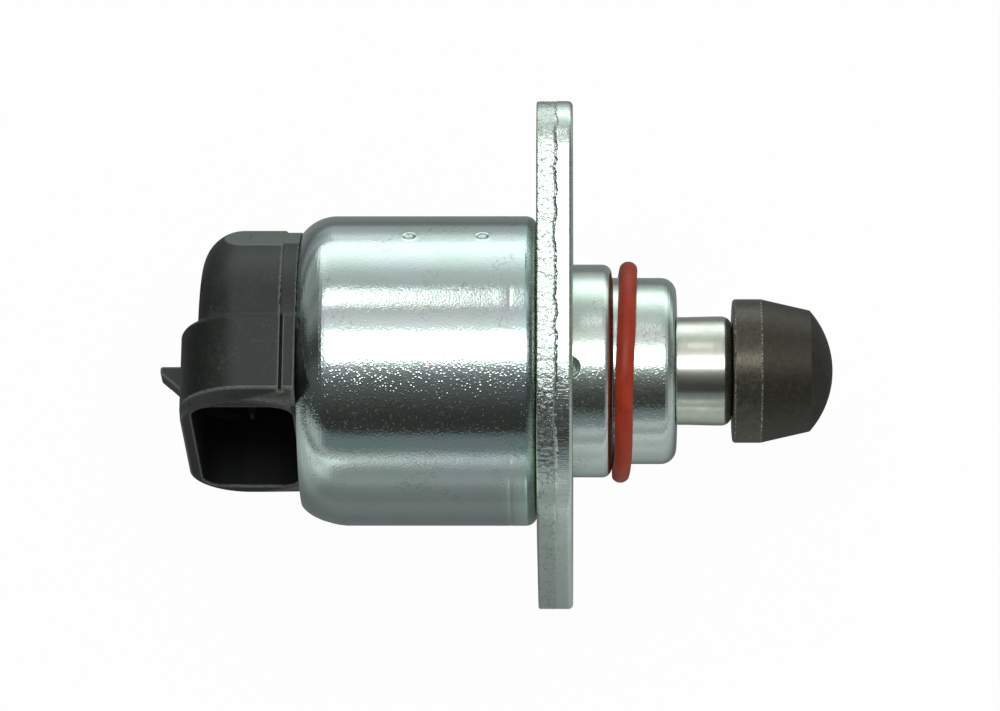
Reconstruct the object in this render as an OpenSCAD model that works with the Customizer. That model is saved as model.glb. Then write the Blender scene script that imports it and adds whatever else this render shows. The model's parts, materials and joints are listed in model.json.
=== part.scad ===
// Idle air control valve: a stepper motor in a drawn can moves a pintle in and out.
// X is the valve's axis, towards the pintle, and its origin is on the flange's mounting face.
// The harness socket opens towards -Y. Angles about the axis run from +Y towards +Z.

/* [Mounting flange] */
// Thickness of the flange plate
flange_t = 3.65; // [3:0.05:4.5]
// Diameter of the flange's round middle
flange_middle_d = 38.8; // [37:0.1:42]
// Radius of each ear
ear_r = 6; // [5:0.1:7.5]
// Distance between the two bolt holes
hole_spacing = 45.8; // [43:0.1:50]
// How far the middle of the two holes lies from the valve's axis
hole_offset = 1.25; // [0:0.05:3]
// Diameter of the bolt holes
hole_d = 5.6; // [4.5:0.1:6.6]
// Direction of the upper ear
ear_angle = 50.3; // [0:0.1:90]
// Chamfer at the mouth of the flange's middle hole
flange_bore_chamfer = 0.55; // [0.45:0.05:0.8]

/* [Motor can] */
// Outside diameter of the can
can_d = 32; // [31:0.1:35]
// Length of the can
can_len = 24.25; // [22:0.05:28]
// Wall of the can
can_wall = 0.9; // [0.7:0.05:1.1]
// Corner radius at the can's front
can_corner_r = 1.2; // [1.1:0.05:2]
// Length of the rear edge that is rolled in
can_roll_len = 3.6; // [2.5:0.05:3.8]
// How far the rear edge is rolled in
can_roll_in = 1.8; // [1.2:0.05:2.2]
// Diameter of each stake dent
dent_d = 1.35; // [0.8:0.05:2]
// Depth of each stake dent
dent_depth = 0.2; // [0.1:0.05:0.4]
// Distance from the flange to the first dent
dent_front = 5.55; // [3:0.05:8]
// Distance between the two dents of a row
dent_spacing = 7.45; // [5:0.05:10]
// Direction of the row of dents
dent_angle = 52.8; // [0:0.1:360]

/* [Nose housing] */
// Diameter of the rear collar
collar_d = 22; // [21.6:0.05:23]
// Length of the rear collar in front of the flange
collar_len = 4; // [3.6:0.05:4.2]
// Corner radius of the rear collar
collar_corner_r = 1; // [0.5:0.05:1.1]
// Diameter of the front collar, which the O-ring sits on
seat_d = 19.24; // [18.8:0.02:19.8]
// Length of the nose in front of the flange
nose_len = 10.65; // [10:0.05:12]
// Corner radius of the nose's front
nose_corner_r = 1.6; // [0.6:0.05:1.8]
// Wall of the nose
nose_wall = 1; // [0.8:0.05:1.1]
// Diameter of the rim that is clamped behind the flange
nose_rim_d = 26; // [25:0.1:28]
// Thickness of that rim
nose_rim_t = 1; // [0.8:0.05:1.3]
// Width of each stake mark in the collar
stake_w = 2.4; // [1.5:0.1:3]
// How far each stake mark reaches from the flange
stake_len = 0.9; // [0.5:0.05:1.1]
// Depth of each stake mark
stake_depth = 0.5; // [0.2:0.05:0.6]
// Number of stake marks
stake_count = 3; // [2:1:6]

/* [O-ring] */
// Thickness of the O-ring
o_ring_section = 1.7; // [1.5:0.02:1.8]
// Distance from the mounting face to the middle of the O-ring
o_ring_x = 5.3; // [5.25:0.05:8]
// How far the O-ring leans on its seat, in degrees
o_ring_lean = 1.9; // [0:0.1:1.9]
// Direction in which the O-ring lies furthest forward
o_ring_lean_angle = 22.3; // [0:0.1:360]

/* [Pintle] */
// Diameter of the pintle head
pintle_d = 14.84; // [13:0.02:16]
// Length of the pintle head
pintle_len = 10.36; // [9:0.02:12]
// Length of its straight band
pintle_band = 2.9; // [2:0.05:4]
// Chamfer at its rear edge
pintle_chamfer = 0.35; // [0.1:0.05:0.6]
// Half angle of its cone, in degrees
pintle_cone_angle = 12.9; // [8:0.1:18]
// Radius of its domed tip
pintle_dome_r = 9.4; // [8.9:0.1:12]
// Travel from the pictured place to the rear stop
travel_in = 5.5; // [3:0.1:5.8]
// Travel from the pictured place to the furthest place forward
travel_out = 2.5; // [1:0.1:2.6]
// Room between the pintle and the nose at the rear stop
stop_gap = 0.29; // [0.1:0.01:0.5]

/* [Spring cup] */
// Diameter of the cup at its front
cup_d = 11.3; // [10.8:0.02:11.6]
// How much slimmer the cup is at its rear
cup_taper = 0.2; // [0:0.02:0.3]
// Wall of the cup
cup_wall = 0.5; // [0.4:0.02:0.6]
// Corner radius of the cup's front
cup_corner_r = 0.85; // [0.65:0.05:1]

/* [Lead screw] */
// Diameter of the screw
screw_d = 4; // [3.6:0.05:4.4]
// Distance across its two flats
screw_flats = 3.2; // [2.8:0.05:3.4]
// Length of the screw in the pintle head
screw_seat = 5; // [3:0.1:7]
// Diameter of the retaining clip
clip_d = 7; // [6:0.1:7.2]
// Thickness of the retaining clip
clip_t = 0.6; // [0.4:0.05:0.8]
// Depth of the clip's groove
clip_groove = 0.4; // [0.2:0.05:0.6]

/* [Spring] */
// Diameter of the coil, wire middle to wire middle
spring_d = 8.6; // [8.4:0.05:8.8]
// Diameter of the wire
spring_wire = 0.7; // [0.5:0.05:0.8]
// Number of turns
spring_turns = 7; // [5:1:9]
// Diameter of the spring's seat
spring_seat_d = 9.4; // [9:0.05:9.6]
// Thickness of the spring's seat
spring_seat_t = 0.5; // [0.3:0.05:0.8]

/* [Guides] */
// Thickness of the anti-rotation guide
guide_t = 0.8; // [0.6:0.05:1.1]
// Wall of the guide's rim
guide_rim = 0.75; // [0.5:0.05:1]
// Length of the bush that guides the spring cup
cup_bush_len = 1.8; // [1.2:0.05:2.4]

/* [Ball bearing] */
// Bore of the bearing
bearing_bore = 7; // [6.6:0.1:7.4]
// Outside diameter of the bearing
bearing_od = 14; // [13.6:0.1:14.6]
// Width of the bearing
bearing_w = 3.8; // [3.4:0.1:4]
// How far the bearing lies behind the mounting face
bearing_setback = 0.6; // [0.4:0.05:0.8]
// Diameter of the balls
ball_d = 1.5; // [1.2:0.05:1.6]
// Number of balls
ball_count = 9; // [6:1:10]
// Thickness of the ring of the cage
cage_t = 0.6; // [0.4:0.05:0.7]
// Width of the cage
cage_w = 2.4; // [2.2:0.05:2.8]
// Thickness of the lip in front of the bearing
holder_lip = 0.6; // [0.4:0.05:0.8]

/* [Rotor] */
// Diameter of the ring magnet
magnet_d = 16; // [15:0.1:16.6]
// Bore of the ring magnet
magnet_bore = 9; // [8:0.1:9.4]
// Room between the magnet and the bearing
magnet_gap = 0.8; // [0.4:0.1:1.5]
// Diameter of the hub's rear journal
journal_d = 6; // [5.4:0.1:6.4]
// Thickness of the thrust washer behind the magnet
thrust_t = 0.35; // [0.2:0.05:0.6]

/* [Stator] */
// Gap between the magnet and the claw poles
air_gap = 0.3; // [0.2:0.05:0.5]
// Thickness of the stator plates and their claws
plate_t = 0.9; // [0.7:0.05:1]
// Claws on each stator plate
claw_count = 6; // [4:1:8]
// Width of a claw at its root
claw_root = 3.4; // [2.4:0.1:4]
// Width of a claw at its tip
claw_tip = 2; // [1.2:0.1:2.4]
// Gap between a claw's tip and the next plate
claw_tip_gap = 0.3; // [0.2:0.05:0.8]
// Wall of the bobbins
bobbin_wall = 0.6; // [0.4:0.05:0.9]
// Depth of the coils below the bobbins' rims
coil_drop = 0.55; // [0.3:0.05:1]
// Diameter of the coil leads
lead_d = 0.3; // [0.2:0.02:0.36]

/* [Rear end] */
// Thickness of the rear plate
rear_plate_t = 0.8; // [0.6:0.05:1.2]
// Wall of the rear bush
rear_bush_wall = 0.9; // [0.6:0.05:1.2]
// Diameter of the rear bush's flange
rear_bush_flange_d = 10.4; // [9.2:0.1:12]
// Length of the rear bush behind the rear plate
rear_bush_len = 1.3; // [1:0.05:1.6]
// Thickness of the seal between can and connector
seal_t = 0.7; // [0.5:0.05:1.2]
// Width of that seal
seal_w = 2.5; // [1.5:0.1:2.6]

/* [Connector] */
// Length of the connector's plug in the can
plug_len = 3.85; // [3.8:0.05:4.6]
// Radius of the round body
body_r = 14.5; // [14.3:0.05:15]
// Distance from the can's rear edge to the round body's rear face
body_len = 10.2; // [9.8:0.05:12.5]
// Radius of the round body's rear edge
body_edge_r = 4.2; // [2:0.1:5]
// Radius of the neck at the can
neck_r = 14.3; // [14.25:0.05:14.3]
// Length of the neck
neck_len = 1.6; // [1:0.05:2.5]
// How far the socket's rear face stands behind the round body's
socket_step = 1.8; // [1:0.05:2.5]
// Radius of the upright corners at the rear of the block around the socket
block_corner_r = 6.5; // [4:0.1:7.5]
// How far that block reaches beyond the axis
block_top = 0.5; // [0.2:0.05:1]
// Radius of the block's edge there
block_edge_r = 0.6; // [0.3:0.05:0.8]
// Half width across the socket's flats
flat_r = 14.7; // [14.5:0.05:15]
// Distance from the axis to the end of the flats
flat_len = 7.75; // [6:0.05:9]
// Height of the sloping rim beyond the flats
rim_slope = 0.8; // [0.4:0.05:1.5]
// How far the rim draws in over that height
rim_in = 1.9; // [1:0.05:2.2]
// Length of the socket's opening along the axis
cavity_len = 10.25; // [10:0.05:10.6]
// Width of the socket's opening
cavity_w = 22.4; // [20:0.1:22.8]
// Corner radius of the socket's opening
cavity_corner_r = 2.6; // [1:0.1:3.5]
// Depth of the socket beyond the axis
cavity_depth = 5.5; // [4:0.1:6.5]
// Wall between the socket and its rear face
socket_wall = 1.25; // [0.9:0.05:1.6]
// Wall over the step of the socket's rear face
step_wall = 1.2; // [0.8:0.05:1.6]
// Distance from the can's rear edge to the groove across each flat
groove_back = 1.5; // [1:0.05:3.5]
// Width of that groove
groove_w = 0.3; // [0.2:0.05:0.6]
// Depth of that groove
groove_depth = 0.4; // [0.2:0.05:0.6]
// Height of the latch ramp
latch_h = 2.7; // [1.2:0.05:3]
// Width of the latch ramp
latch_w = 2.56; // [2:0.02:5]
// Distance from the axis to the latch's catch face
latch_y = 0.05; // [0:0.05:1]
// Length of the latch ramp at its foot
latch_foot = 3.1; // [1.8:0.05:3.5]
// Length of the latch ramp at its top
latch_top = 0.5; // [0.3:0.05:1.2]

/* [Terminals] */
// Distance between two terminals
terminal_pitch = 4.3; // [3.9:0.05:4.6]
// Width of a terminal
terminal_w = 1.5; // [1:0.05:1.8]
// Thickness of a terminal
terminal_t = 0.8; // [0.5:0.05:1]
// Distance from the terminals' tips to the socket's mouth
terminal_recess = 6; // [3:0.1:6.5]
// Length of a terminal's tapered tip
terminal_tip_len = 0.8; // [0.3:0.1:1.5]
// Thickness of that tip at its end
terminal_tip_t = 0.35; // [0.2:0.05:0.45]
// Distance from the axis to the terminals' legs in the plug
terminal_leg_y = 9.5; // [8.6:0.1:9.8]

/* [Fits] */
// Room between pieces that are seated in or on each other
slip = 0.05; // [0.03:0.01:0.06]
// Room between a shaft and the hole that it turns or slides in
run = 0.05; // [0.03:0.01:0.08]
// Room between the balls and what holds them
ball_gap = 0.08; // [0.05:0.01:0.1]
// Room between pieces that pass each other as they move
pass = 0.25; // [0.2:0.01:0.3]

/* [Hidden] */
$fn = 96;

// How far a cut runs past the faces that it goes through
past = 1;
// How far the flange's flanks are tucked into its round ends
flank_tuck = 0.01;
// The two coils have two leads each, and each lead has its terminal
terminals = 4;
all_leads = [for (i = [1:terminals]) i];
front_leads = [for (i = all_leads) if (feeds_front_coil(i)) i];

// Places along the axis, from the flange to the rear
flange_back = -flange_t;
can_rear = flange_back - can_len;
stack_front = flange_back - can_wall - 3 * slip;
plug_front = can_rear + plug_len;
rear_plate_back = plug_front + seal_t + 2 * slip;
rear_plate_front = rear_plate_back + rear_plate_t;
stack_rear = rear_plate_front + slip;
phase_len = (stack_front - stack_rear) / 2;
coil_w = phase_len - 2 * plate_t;
body_rear = can_rear - body_len;
socket_rear = body_rear - socket_step;
cavity_rear = socket_rear + socket_wall;
cavity_front = cavity_rear + cavity_len;
terminal_x = (cavity_rear + cavity_front) / 2;
terminal_end = plug_front + seal_t / 2;
mouth_y = -flat_len - rim_slope;

// Places along the axis, from the bearing to the pintle
bearing_front = -bearing_setback;
bearing_back = bearing_front - bearing_w;
holder_front = bearing_front + slip + holder_lip;
guide_front = holder_front + guide_t;
nose_step = collar_len - nose_wall;
spring_rear = guide_front + spring_seat_t;
bush_front = nose_len - nose_wall - slip;
pintle_rear = nose_len + travel_in + stop_gap;
pintle_tip = pintle_rear + pintle_len;
cup_front = pintle_rear - slip;
cup_rear = guide_front + travel_in + pass;
spring_front = cup_front - cup_wall;
clip_front = spring_front - slip;
screw_front = pintle_rear + screw_seat;
magnet_front = bearing_back - magnet_gap;
hub_shoulder = bearing_back - slip;
thrust_back = stack_rear + slip;
magnet_back = thrust_back + thrust_t + run;
rear_bush_back = rear_plate_back - rear_bush_len;
hub_back = rear_bush_back + 3 * slip;
screw_tail = hub_back + travel_in;

// Radii of the can and of what it holds
can_r = can_d / 2;
can_bore_r = can_r - can_wall;
can_roll_r = (can_roll_len * can_roll_len + can_roll_in * can_roll_in) / (2 * can_roll_in);
roll_angle = asin(can_roll_len / can_roll_r);
roll_start = can_rear + can_roll_len;
roll_end_r = can_r - can_roll_r + (can_roll_r - can_wall) * cos(roll_angle);
roll_end_x = roll_start - (can_roll_r - can_wall) * sin(roll_angle);
stator_r = can_bore_r - slip;
claw_r = magnet_d / 2 + air_gap;
bobbin_r = claw_r + plate_t + 2 * slip;
coil_r = bobbin_r + bobbin_wall + slip;
lead_r = stator_r - lead_d / 2 - 2 * slip;
bobbin_rim_r = lead_r - lead_d / 2 - 2 * slip;
coil_top_r = bobbin_rim_r - coil_drop;

// Radii of the nose, the bearing and the moving pieces
collar_r = collar_d / 2;
collar_bore_r = collar_r - nose_wall;
seat_r = seat_d / 2;
seat_bore_r = seat_r - nose_wall;
cup_r = cup_d / 2;
screw_r = screw_d / 2;
ball_r = ball_d / 2;
ball_pitch_r = (bearing_bore + bearing_od) / 4;
ball_x = (bearing_front + bearing_back) / 2;
race_t = ball_pitch_r - bearing_bore / 2 - cage_t / 2 - ball_gap * 2;
journal_r = journal_d / 2;
rear_bush_r = journal_r + run + rear_bush_wall;

function terminal_z(i) = (i - (terminals + 1) / 2) * terminal_pitch;
function lead_angle(i) = atan2(terminal_z(i), terminal_leg_y);
function feeds_front_coil(i) = i == 2 || i == 3;

// A round bar along the axis, from x0 to x1
module bar(r, x0, x1) {
    translate([x0, 0, 0]) rotate([0, 90, 0]) cylinder(r = r, h = x1 - x0);
}

// A tube along the axis, from x0 to x1
module tube(r_in, r_out, x0, x1) {
    difference() {
        bar(r_out, x0, x1);
        bar(r_in, x0 - past, x1 + past);
    }
}

// Turns a profile of radius and place along the axis into a solid
module turned() {
    rotate([0, 90, 0]) rotate_extrude() children();
}

// A rectangle of a turned profile
module band(r0, r1, x0, x1) {
    translate([r0, x0]) square([r1 - r0, x1 - x0]);
}

// A turned profile's rectangle whose outer front corner is round
module round_band(r, x0, x1, corner) {
    band(0, r, x0, x1 - corner);
    band(0, r - corner, x0, x1);
    translate([r - corner, x1 - corner]) circle(r = corner);
}

// Draws a YZ outline between two places on the axis
module across(x0, x1) {
    translate([x0, 0, 0]) rotate([90, 0, 90]) linear_extrude(x1 - x0) children();
}

// One ear of the flange: its round end, and flanks that run tangent to the round middle
module ear_outline(reach) {
    r0 = flange_middle_d / 2 - flank_tuck;
    r1 = ear_r - flank_tuck;
    s = (r0 - r1) / reach;
    c = sqrt(1 - s * s);
    translate([reach, 0]) circle(r = ear_r);
    polygon([
        [r0 * s, -r0 * c],
        [reach + r1 * s, -r1 * c],
        [reach + r1 * s, r1 * c],
        [r0 * s, r0 * c]
    ]);
}

// The flange's outline, with the upper ear towards the first axis
module flange_outline() {
    circle(d = flange_middle_d);
    ear_outline(hole_spacing / 2 + hole_offset);
    rotate(180) ear_outline(hole_spacing / 2 - hole_offset);
}

module mounting_flange() {
    color("lightsteelblue")
    difference() {
        across(flange_back, 0) rotate(ear_angle) flange_outline();
        bar(collar_r + slip, flange_back - past, past);
        bar(nose_rim_d / 2 + slip, flange_back - past, flange_back + nose_rim_t);
        translate([-flange_bore_chamfer, 0, 0]) rotate([0, 90, 0]) cylinder(
            r1 = collar_r + slip,
            r2 = collar_r + slip + flange_bore_chamfer + past,
            h = flange_bore_chamfer + past);
        rotate([ear_angle, 0, 0])
        for (side = [-1, 1]) {
            translate([0, side * hole_spacing / 2 + hole_offset, 0])
                bar(hole_d / 2, flange_back - past, past);
        }
    }
}

// The rolled-in wall at the can's rear, cut square across its end
module rolled_wall() {
    translate([can_r - can_roll_r, roll_start])
    intersection() {
        difference() {
            circle(r = can_roll_r);
            circle(r = can_roll_r - can_wall);
        }
        polygon([
            [0, 0],
            [2 * can_roll_r, 0],
            [2 * can_roll_r * cos(roll_angle), -2 * can_roll_r * sin(roll_angle)]
        ]);
    }
}

module motor_can() {
    dent_ball = (dent_d * dent_d / 4 + dent_depth * dent_depth) / (2 * dent_depth);
    color("lightsteelblue")
    difference() {
        turned() {
            difference() {
                round_band(can_r, roll_start, flange_back, can_corner_r);
                round_band(can_bore_r, roll_start - past, flange_back - can_wall, can_corner_r - can_wall);
                band(0, collar_bore_r, roll_start, flange_back + past);
            }
            rolled_wall();
        }
        for (row = [0, 180], i = [0, 1]) {
            rotate([dent_angle + row, 0, 0])
                translate([flange_back - dent_front - i * dent_spacing, can_r + dent_ball - dent_depth, 0])
                sphere(r = dent_ball);
        }
    }
}

module nose_housing() {
    stake_r = (stake_w * stake_w / 4 + stake_len * stake_len) / (2 * stake_len);
    color("lightsteelblue")
    difference() {
        turned() difference() {
            union() {
                band(0, nose_rim_d / 2, flange_back, flange_back + nose_rim_t);
                round_band(collar_r, flange_back, collar_len, collar_corner_r);
                round_band(seat_r, flange_back, nose_len, nose_corner_r);
            }
            band(0, collar_bore_r, flange_back - past, nose_step);
            band(0, seat_bore_r, flange_back - past, nose_len - nose_wall);
            band(0, cup_r + pass, 0, nose_len + past);
        }
        for (i = [0:stake_count - 1]) {
            rotate([ear_angle + 180 + i * 360 / stake_count, 0, 0])
                translate([stake_len - stake_r, collar_r - stake_depth, 0])
                rotate([-90, 0, 0]) cylinder(r = stake_r, h = stake_depth + past);
        }
    }
}

module nose_o_ring() {
    color("firebrick")
    translate([o_ring_x, 0, 0])
    rotate([o_ring_lean_angle, 0, 0])
    rotate([0, 0, -o_ring_lean])
    turned() translate([seat_r + slip + o_ring_section / 2, 0]) circle(d = o_ring_section);
}

module cup_bush() {
    color("gainsboro")
        tube(cup_r + run, seat_bore_r - slip, bush_front - cup_bush_len, bush_front);
}

module bearing_holder() {
    color("silver")
    turned() difference() {
        band(0, collar_bore_r - slip, stack_front, holder_front);
        band(0, bearing_od / 2 + slip, stack_front - past, bearing_front + slip);
        band(0, bearing_od / 2 - race_t, stack_front, holder_front + past);
    }
}

// The screw's section between its two flats, larger all round by room
module flatted_section(room) {
    intersection() {
        circle(r = screw_r + room);
        square([screw_flats + 2 * room, screw_d + 4 * room], center = true);
    }
}

module anti_rotation_guide() {
    outer = collar_bore_r - slip;
    color("ivory") {
        difference() {
            bar(outer, holder_front, guide_front);
            across(holder_front - past, guide_front + past) flatted_section(run);
        }
        tube(outer - guide_rim, outer, holder_front, nose_step - slip);
    }
}

module spring_seat() {
    color("silver")
        tube(screw_r + pass, spring_seat_d / 2, guide_front, spring_rear);
}

// A turned ring with the balls' groove in it
module race(r0, r1) {
    turned() difference() {
        band(r0, r1, bearing_back, bearing_front);
        translate([ball_pitch_r, ball_x]) circle(r = ball_r + ball_gap);
    }
}

module bearing_outer_race() {
    color("lightgray") race(bearing_od / 2 - race_t, bearing_od / 2);
}

module bearing_inner_race() {
    color("lightgray") race(bearing_bore / 2, bearing_bore / 2 + race_t);
}

// Places children at each ball
module at_balls() {
    for (i = [0:ball_count - 1]) {
        rotate([i * 360 / ball_count, 0, 0]) translate([ball_x, 0, ball_pitch_r]) children();
    }
}

module bearing_balls() {
    color("white") at_balls() sphere(r = ball_r);
}

module bearing_cage() {
    color("darkgoldenrod")
    difference() {
        tube(ball_pitch_r - cage_t / 2, ball_pitch_r + cage_t / 2,
             ball_x - cage_w / 2, ball_x + cage_w / 2);
        at_balls() cylinder(r = ball_r + ball_gap, h = 2 * cage_t, center = true);
    }
}

// The ring of claws that stand from x towards the side that way gives
module claws(x, way, turn) {
    reach = plate_t + coil_w - claw_tip_gap;
    intersection() {
        tube(claw_r, claw_r + plate_t, x - reach - past, x + reach + past);
        for (i = [0:claw_count - 1]) {
            rotate([turn + i * 360 / claw_count, 0, 0])
                translate([x, 0, claw_r - past])
                linear_extrude(plate_t + 2 * past)
                polygon([
                    [0, -claw_root / 2],
                    [0, claw_root / 2],
                    [way * reach, claw_tip / 2],
                    [way * reach, -claw_tip / 2]
                ]);
        }
    }
}

// Notches in a plate's edge that the coil leads run through
module lead_notches(r0, leads, x0, x1) {
    for (i = leads) {
        rotate([lead_angle(i), 0, 0])
            translate([x0 - past, r0, -2 * lead_d])
            cube([x1 - x0 + 2 * past, can_r - r0, 4 * lead_d]);
    }
}

// Plates 1 and 2 hold the front coil, 3 and 4 the rear one
module stator_plate(i) {
    rear = i % 2 == 0;
    front_x = stack_front - (i > 2 ? phase_len : 0) - (rear ? phase_len - plate_t : 0);
    back_x = front_x - plate_t;
    turn = (rear ? 180 / claw_count : 0) + (i > 2 ? 90 / claw_count : 0);
    leads = i == 1 ? [] : i == 4 ? all_leads : front_leads;
    color(rear ? "slategray" : "lightslategray") {
        difference() {
            tube(claw_r + plate_t * 0.75, stator_r, back_x, front_x);
            lead_notches(bobbin_rim_r, leads, back_x, front_x);
        }
        claws(rear ? back_x : front_x, rear ? 1 : -1, turn);
    }
}

// A bobbin whose phase starts at front_x
module bobbin(front_x) {
    x1 = front_x - plate_t - slip;
    x0 = x1 - coil_w + 2 * slip;
    color("ivory")
    turned() difference() {
        band(bobbin_r, bobbin_rim_r, x0, x1);
        band(bobbin_r + bobbin_wall, bobbin_rim_r + past, x0 + bobbin_wall, x1 - bobbin_wall);
    }
}

module winding(front_x) {
    x1 = front_x - plate_t - 2 * slip - bobbin_wall;
    x0 = front_x - plate_t - coil_w + 2 * slip + bobbin_wall;
    color("peru") tube(coil_r, coil_top_r, x0, x1);
}

// The lead from a terminal's end to its coil, as a run of straight wires
module coil_lead(i) {
    leg_r = norm([terminal_z(i), terminal_leg_y]);
    slot_x = (rear_plate_front + rear_plate_back) / 2;
    coil_x = stack_front - (feeds_front_coil(i) ? 0.5 : 1.5) * phase_len;
    color("peru")
    rotate([lead_angle(i), 0, 0]) {
        wire([terminal_end, leg_r], [slot_x, leg_r]);
        wire([slot_x, leg_r], [slot_x, lead_r]);
        wire([slot_x, lead_r], [coil_x, lead_r]);
        wire([coil_x, lead_r], [coil_x, coil_top_r]);
        for (p = [[slot_x, leg_r], [slot_x, lead_r], [coil_x, lead_r]]) {
            translate([p[0], p[1], 0]) sphere(d = lead_d);
        }
    }
}

// A straight piece of lead between two points of the XY plane
module wire(a, b) {
    step = b - a;
    translate([a[0], a[1], 0])
        rotate([0, 0, atan2(step[1], step[0])])
        rotate([0, 90, 0])
        cylinder(d = lead_d, h = norm(step));
}

module rear_plate() {
    color("silver")
    difference() {
        tube(rear_bush_r + slip, stator_r, rear_plate_back, rear_plate_front);
        lead_notches(terminal_leg_y - terminal_t, all_leads, rear_plate_back, rear_plate_front);
    }
}

module rear_bush() {
    flange_x = rear_plate_back - slip;
    color("darkgoldenrod")
    turned() difference() {
        union() {
            band(0, rear_bush_r, rear_bush_back, rear_plate_front);
            band(0, rear_bush_flange_d / 2, plug_front + slip, flange_x);
        }
        band(0, journal_r + run, rear_bush_back - past, rear_plate_front + past);
    }
}

module thrust_washer() {
    color("silver")
        tube(journal_r + pass, rear_bush_r + slip, thrust_back, thrust_back + thrust_t);
}

module housing_seal() {
    color("dimgray")
        tube(stator_r - seal_w, stator_r, plug_front + slip, rear_plate_back - slip);
}

// A cut into the socket from y0 to y1, with round corners, whose rear wall is at x
module socket_cut(y0, y1, x) {
    r = cavity_corner_r;
    z = cavity_w / 2;
    translate([0, y0, 0])
    rotate([-90, 0, 0])
    linear_extrude(y1 - y0) {
        translate([x, -z + r]) square([cavity_front - x, cavity_w - 2 * r]);
        translate([x + r, -z]) square([cavity_front - x - 2 * r, cavity_w]);
        for (cx = [x + r, cavity_front - r], cz = [-z + r, z - r]) {
            translate([cx, cz]) circle(r = r);
        }
    }
}

// Points along the middles of the block's round rear corners
module at_block_corners() {
    for (z = [-1, 1]) {
        translate([socket_rear + block_corner_r, z * (flat_r - block_corner_r)]) children();
    }
}

// The block around the socket, seen from its mouth and drawn in by inset
module block_plan(inset) {
    x1 = can_rear - slip;
    z = flat_r - block_corner_r;
    translate([socket_rear + block_corner_r, -flat_r + inset])
        square([x1 - socket_rear - block_corner_r, 2 * (flat_r - inset)]);
    translate([socket_rear + inset, -z])
        square([x1 - socket_rear - inset, 2 * z]);
    at_block_corners() circle(r = block_corner_r - inset);
}

// The block up to its round edge beyond the axis
module block_solid() {
    edge_y = block_top - block_edge_r;
    bend = block_corner_r - block_edge_r;
    z = flat_r - block_corner_r;
    translate([0, mouth_y, 0]) rotate([-90, 0, 0]) {
        linear_extrude(edge_y - mouth_y) block_plan(0);
        linear_extrude(block_top - mouth_y) block_plan(block_edge_r);
        translate([0, 0, edge_y - mouth_y]) {
            at_block_corners() rotate_extrude() {
                translate([bend, 0]) circle(r = block_edge_r);
            }
            for (side = [-1, 1]) {
                translate([socket_rear + block_corner_r, side * (flat_r - block_edge_r), 0])
                    rotate([0, 90, 0])
                    cylinder(r = block_edge_r, h = can_rear - slip - socket_rear - block_corner_r);
            }
            translate([socket_rear + block_edge_r, -z, 0])
                rotate([-90, 0, 0])
                cylinder(r = block_edge_r, h = 2 * z);
        }
    }
}

// The block around the socket, from the rear: flats that end in a sloping rim
module socket_section() {
    rise = past * rim_slope / rim_in;
    out_z = flat_r + past;
    in_z = flat_r - rim_in - past;
    polygon([
        [can_r, -out_z], [can_r, out_z], [-flat_len + rise, out_z],
        [mouth_y - rise, in_z], [mouth_y - rise, -in_z], [-flat_len + rise, -out_z]
    ]);
}

module connector_plug() {
    turned() difference() {
        union() {
            band(0, can_bore_r - slip, roll_start, plug_front);
            band(0, roll_end_r - 3 * slip, can_rear - slip, roll_start);
            intersection() {
                translate([can_r - can_roll_r, roll_start]) circle(r = can_roll_r - can_wall - slip);
                band(0, can_r, roll_end_x, roll_start);
            }
        }
        band(0, rear_bush_r + 2 * slip, rear_bush_back - pass, plug_front + past);
    }
}

module connector_body() {
    intersection() {
        union() {
            turned() mirror([0, 1])
                round_band(body_r, neck_len - can_rear, -body_rear, body_edge_r);
            bar(neck_r, body_rear + body_edge_r, can_rear - slip);
        }
        translate([socket_rear, -past, -can_r]) cube([body_len + socket_step, can_d, can_d]);
    }
    intersection() {
        block_solid();
        across(socket_rear - past, can_rear) socket_section();
    }
}

// A wedge that rises from the mouth's side and ends in a square catch
module latch_ramp() {
    foot_x = socket_rear + socket_wall / 2;
    translate([0, 0, -latch_w / 2])
    linear_extrude(latch_w)
    polygon([
        [foot_x, -latch_y],
        [socket_rear - latch_h, -latch_y],
        [socket_rear - latch_h, -latch_y - latch_top],
        [socket_rear, -latch_y - latch_foot],
        [foot_x, -latch_y - latch_foot]
    ]);
}

// A terminal's side: a blade in the socket and a leg that runs into the can
module terminal_side(room) {
    t = terminal_t + 2 * room;
    tip_y = mouth_y + terminal_recess;
    blade_y = tip_y + terminal_tip_len;
    translate([terminal_x, 0]) polygon([
        [-terminal_tip_t / 2, tip_y], [terminal_tip_t / 2, tip_y], [t / 2, blade_y],
        [t / 2, terminal_leg_y + t / 2], [-t / 2, terminal_leg_y + t / 2], [-t / 2, blade_y]
    ]);
    translate([terminal_x - t / 2, terminal_leg_y - t / 2])
        square([terminal_end - terminal_x + t / 2, t]);
}

module terminal_solid(i, room) {
    w = terminal_w + 2 * room;
    translate([0, 0, terminal_z(i) - w / 2]) linear_extrude(w) terminal_side(room);
}

module terminal(i) {
    color("gold") terminal_solid(i, 0);
}

// What is cut out of the two flats for their grooves
module flat_grooves() {
    reach = past + groove_depth;
    for (z = [flat_r - groove_depth, -flat_r - past]) {
        translate([can_rear - groove_back - groove_w / 2, mouth_y - past, z])
            cube([groove_w, block_top - mouth_y + 2 * past, reach]);
    }
}

module connector_housing() {
    color([0.16, 0.17, 0.16])
    difference() {
        union() {
            connector_plug();
            connector_body();
            latch_ramp();
        }
        socket_cut(mouth_y - past, block_top - step_wall, cavity_rear);
        socket_cut(mouth_y - past, cavity_depth, body_rear + socket_wall);
        for (i = all_leads) {
            terminal_solid(i, slip / 2);
        }
        flat_grooves();
    }
}

module rotor_magnet() {
    color("dimgray") tube(magnet_bore / 2, magnet_d / 2, magnet_back, magnet_front);
}

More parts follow.
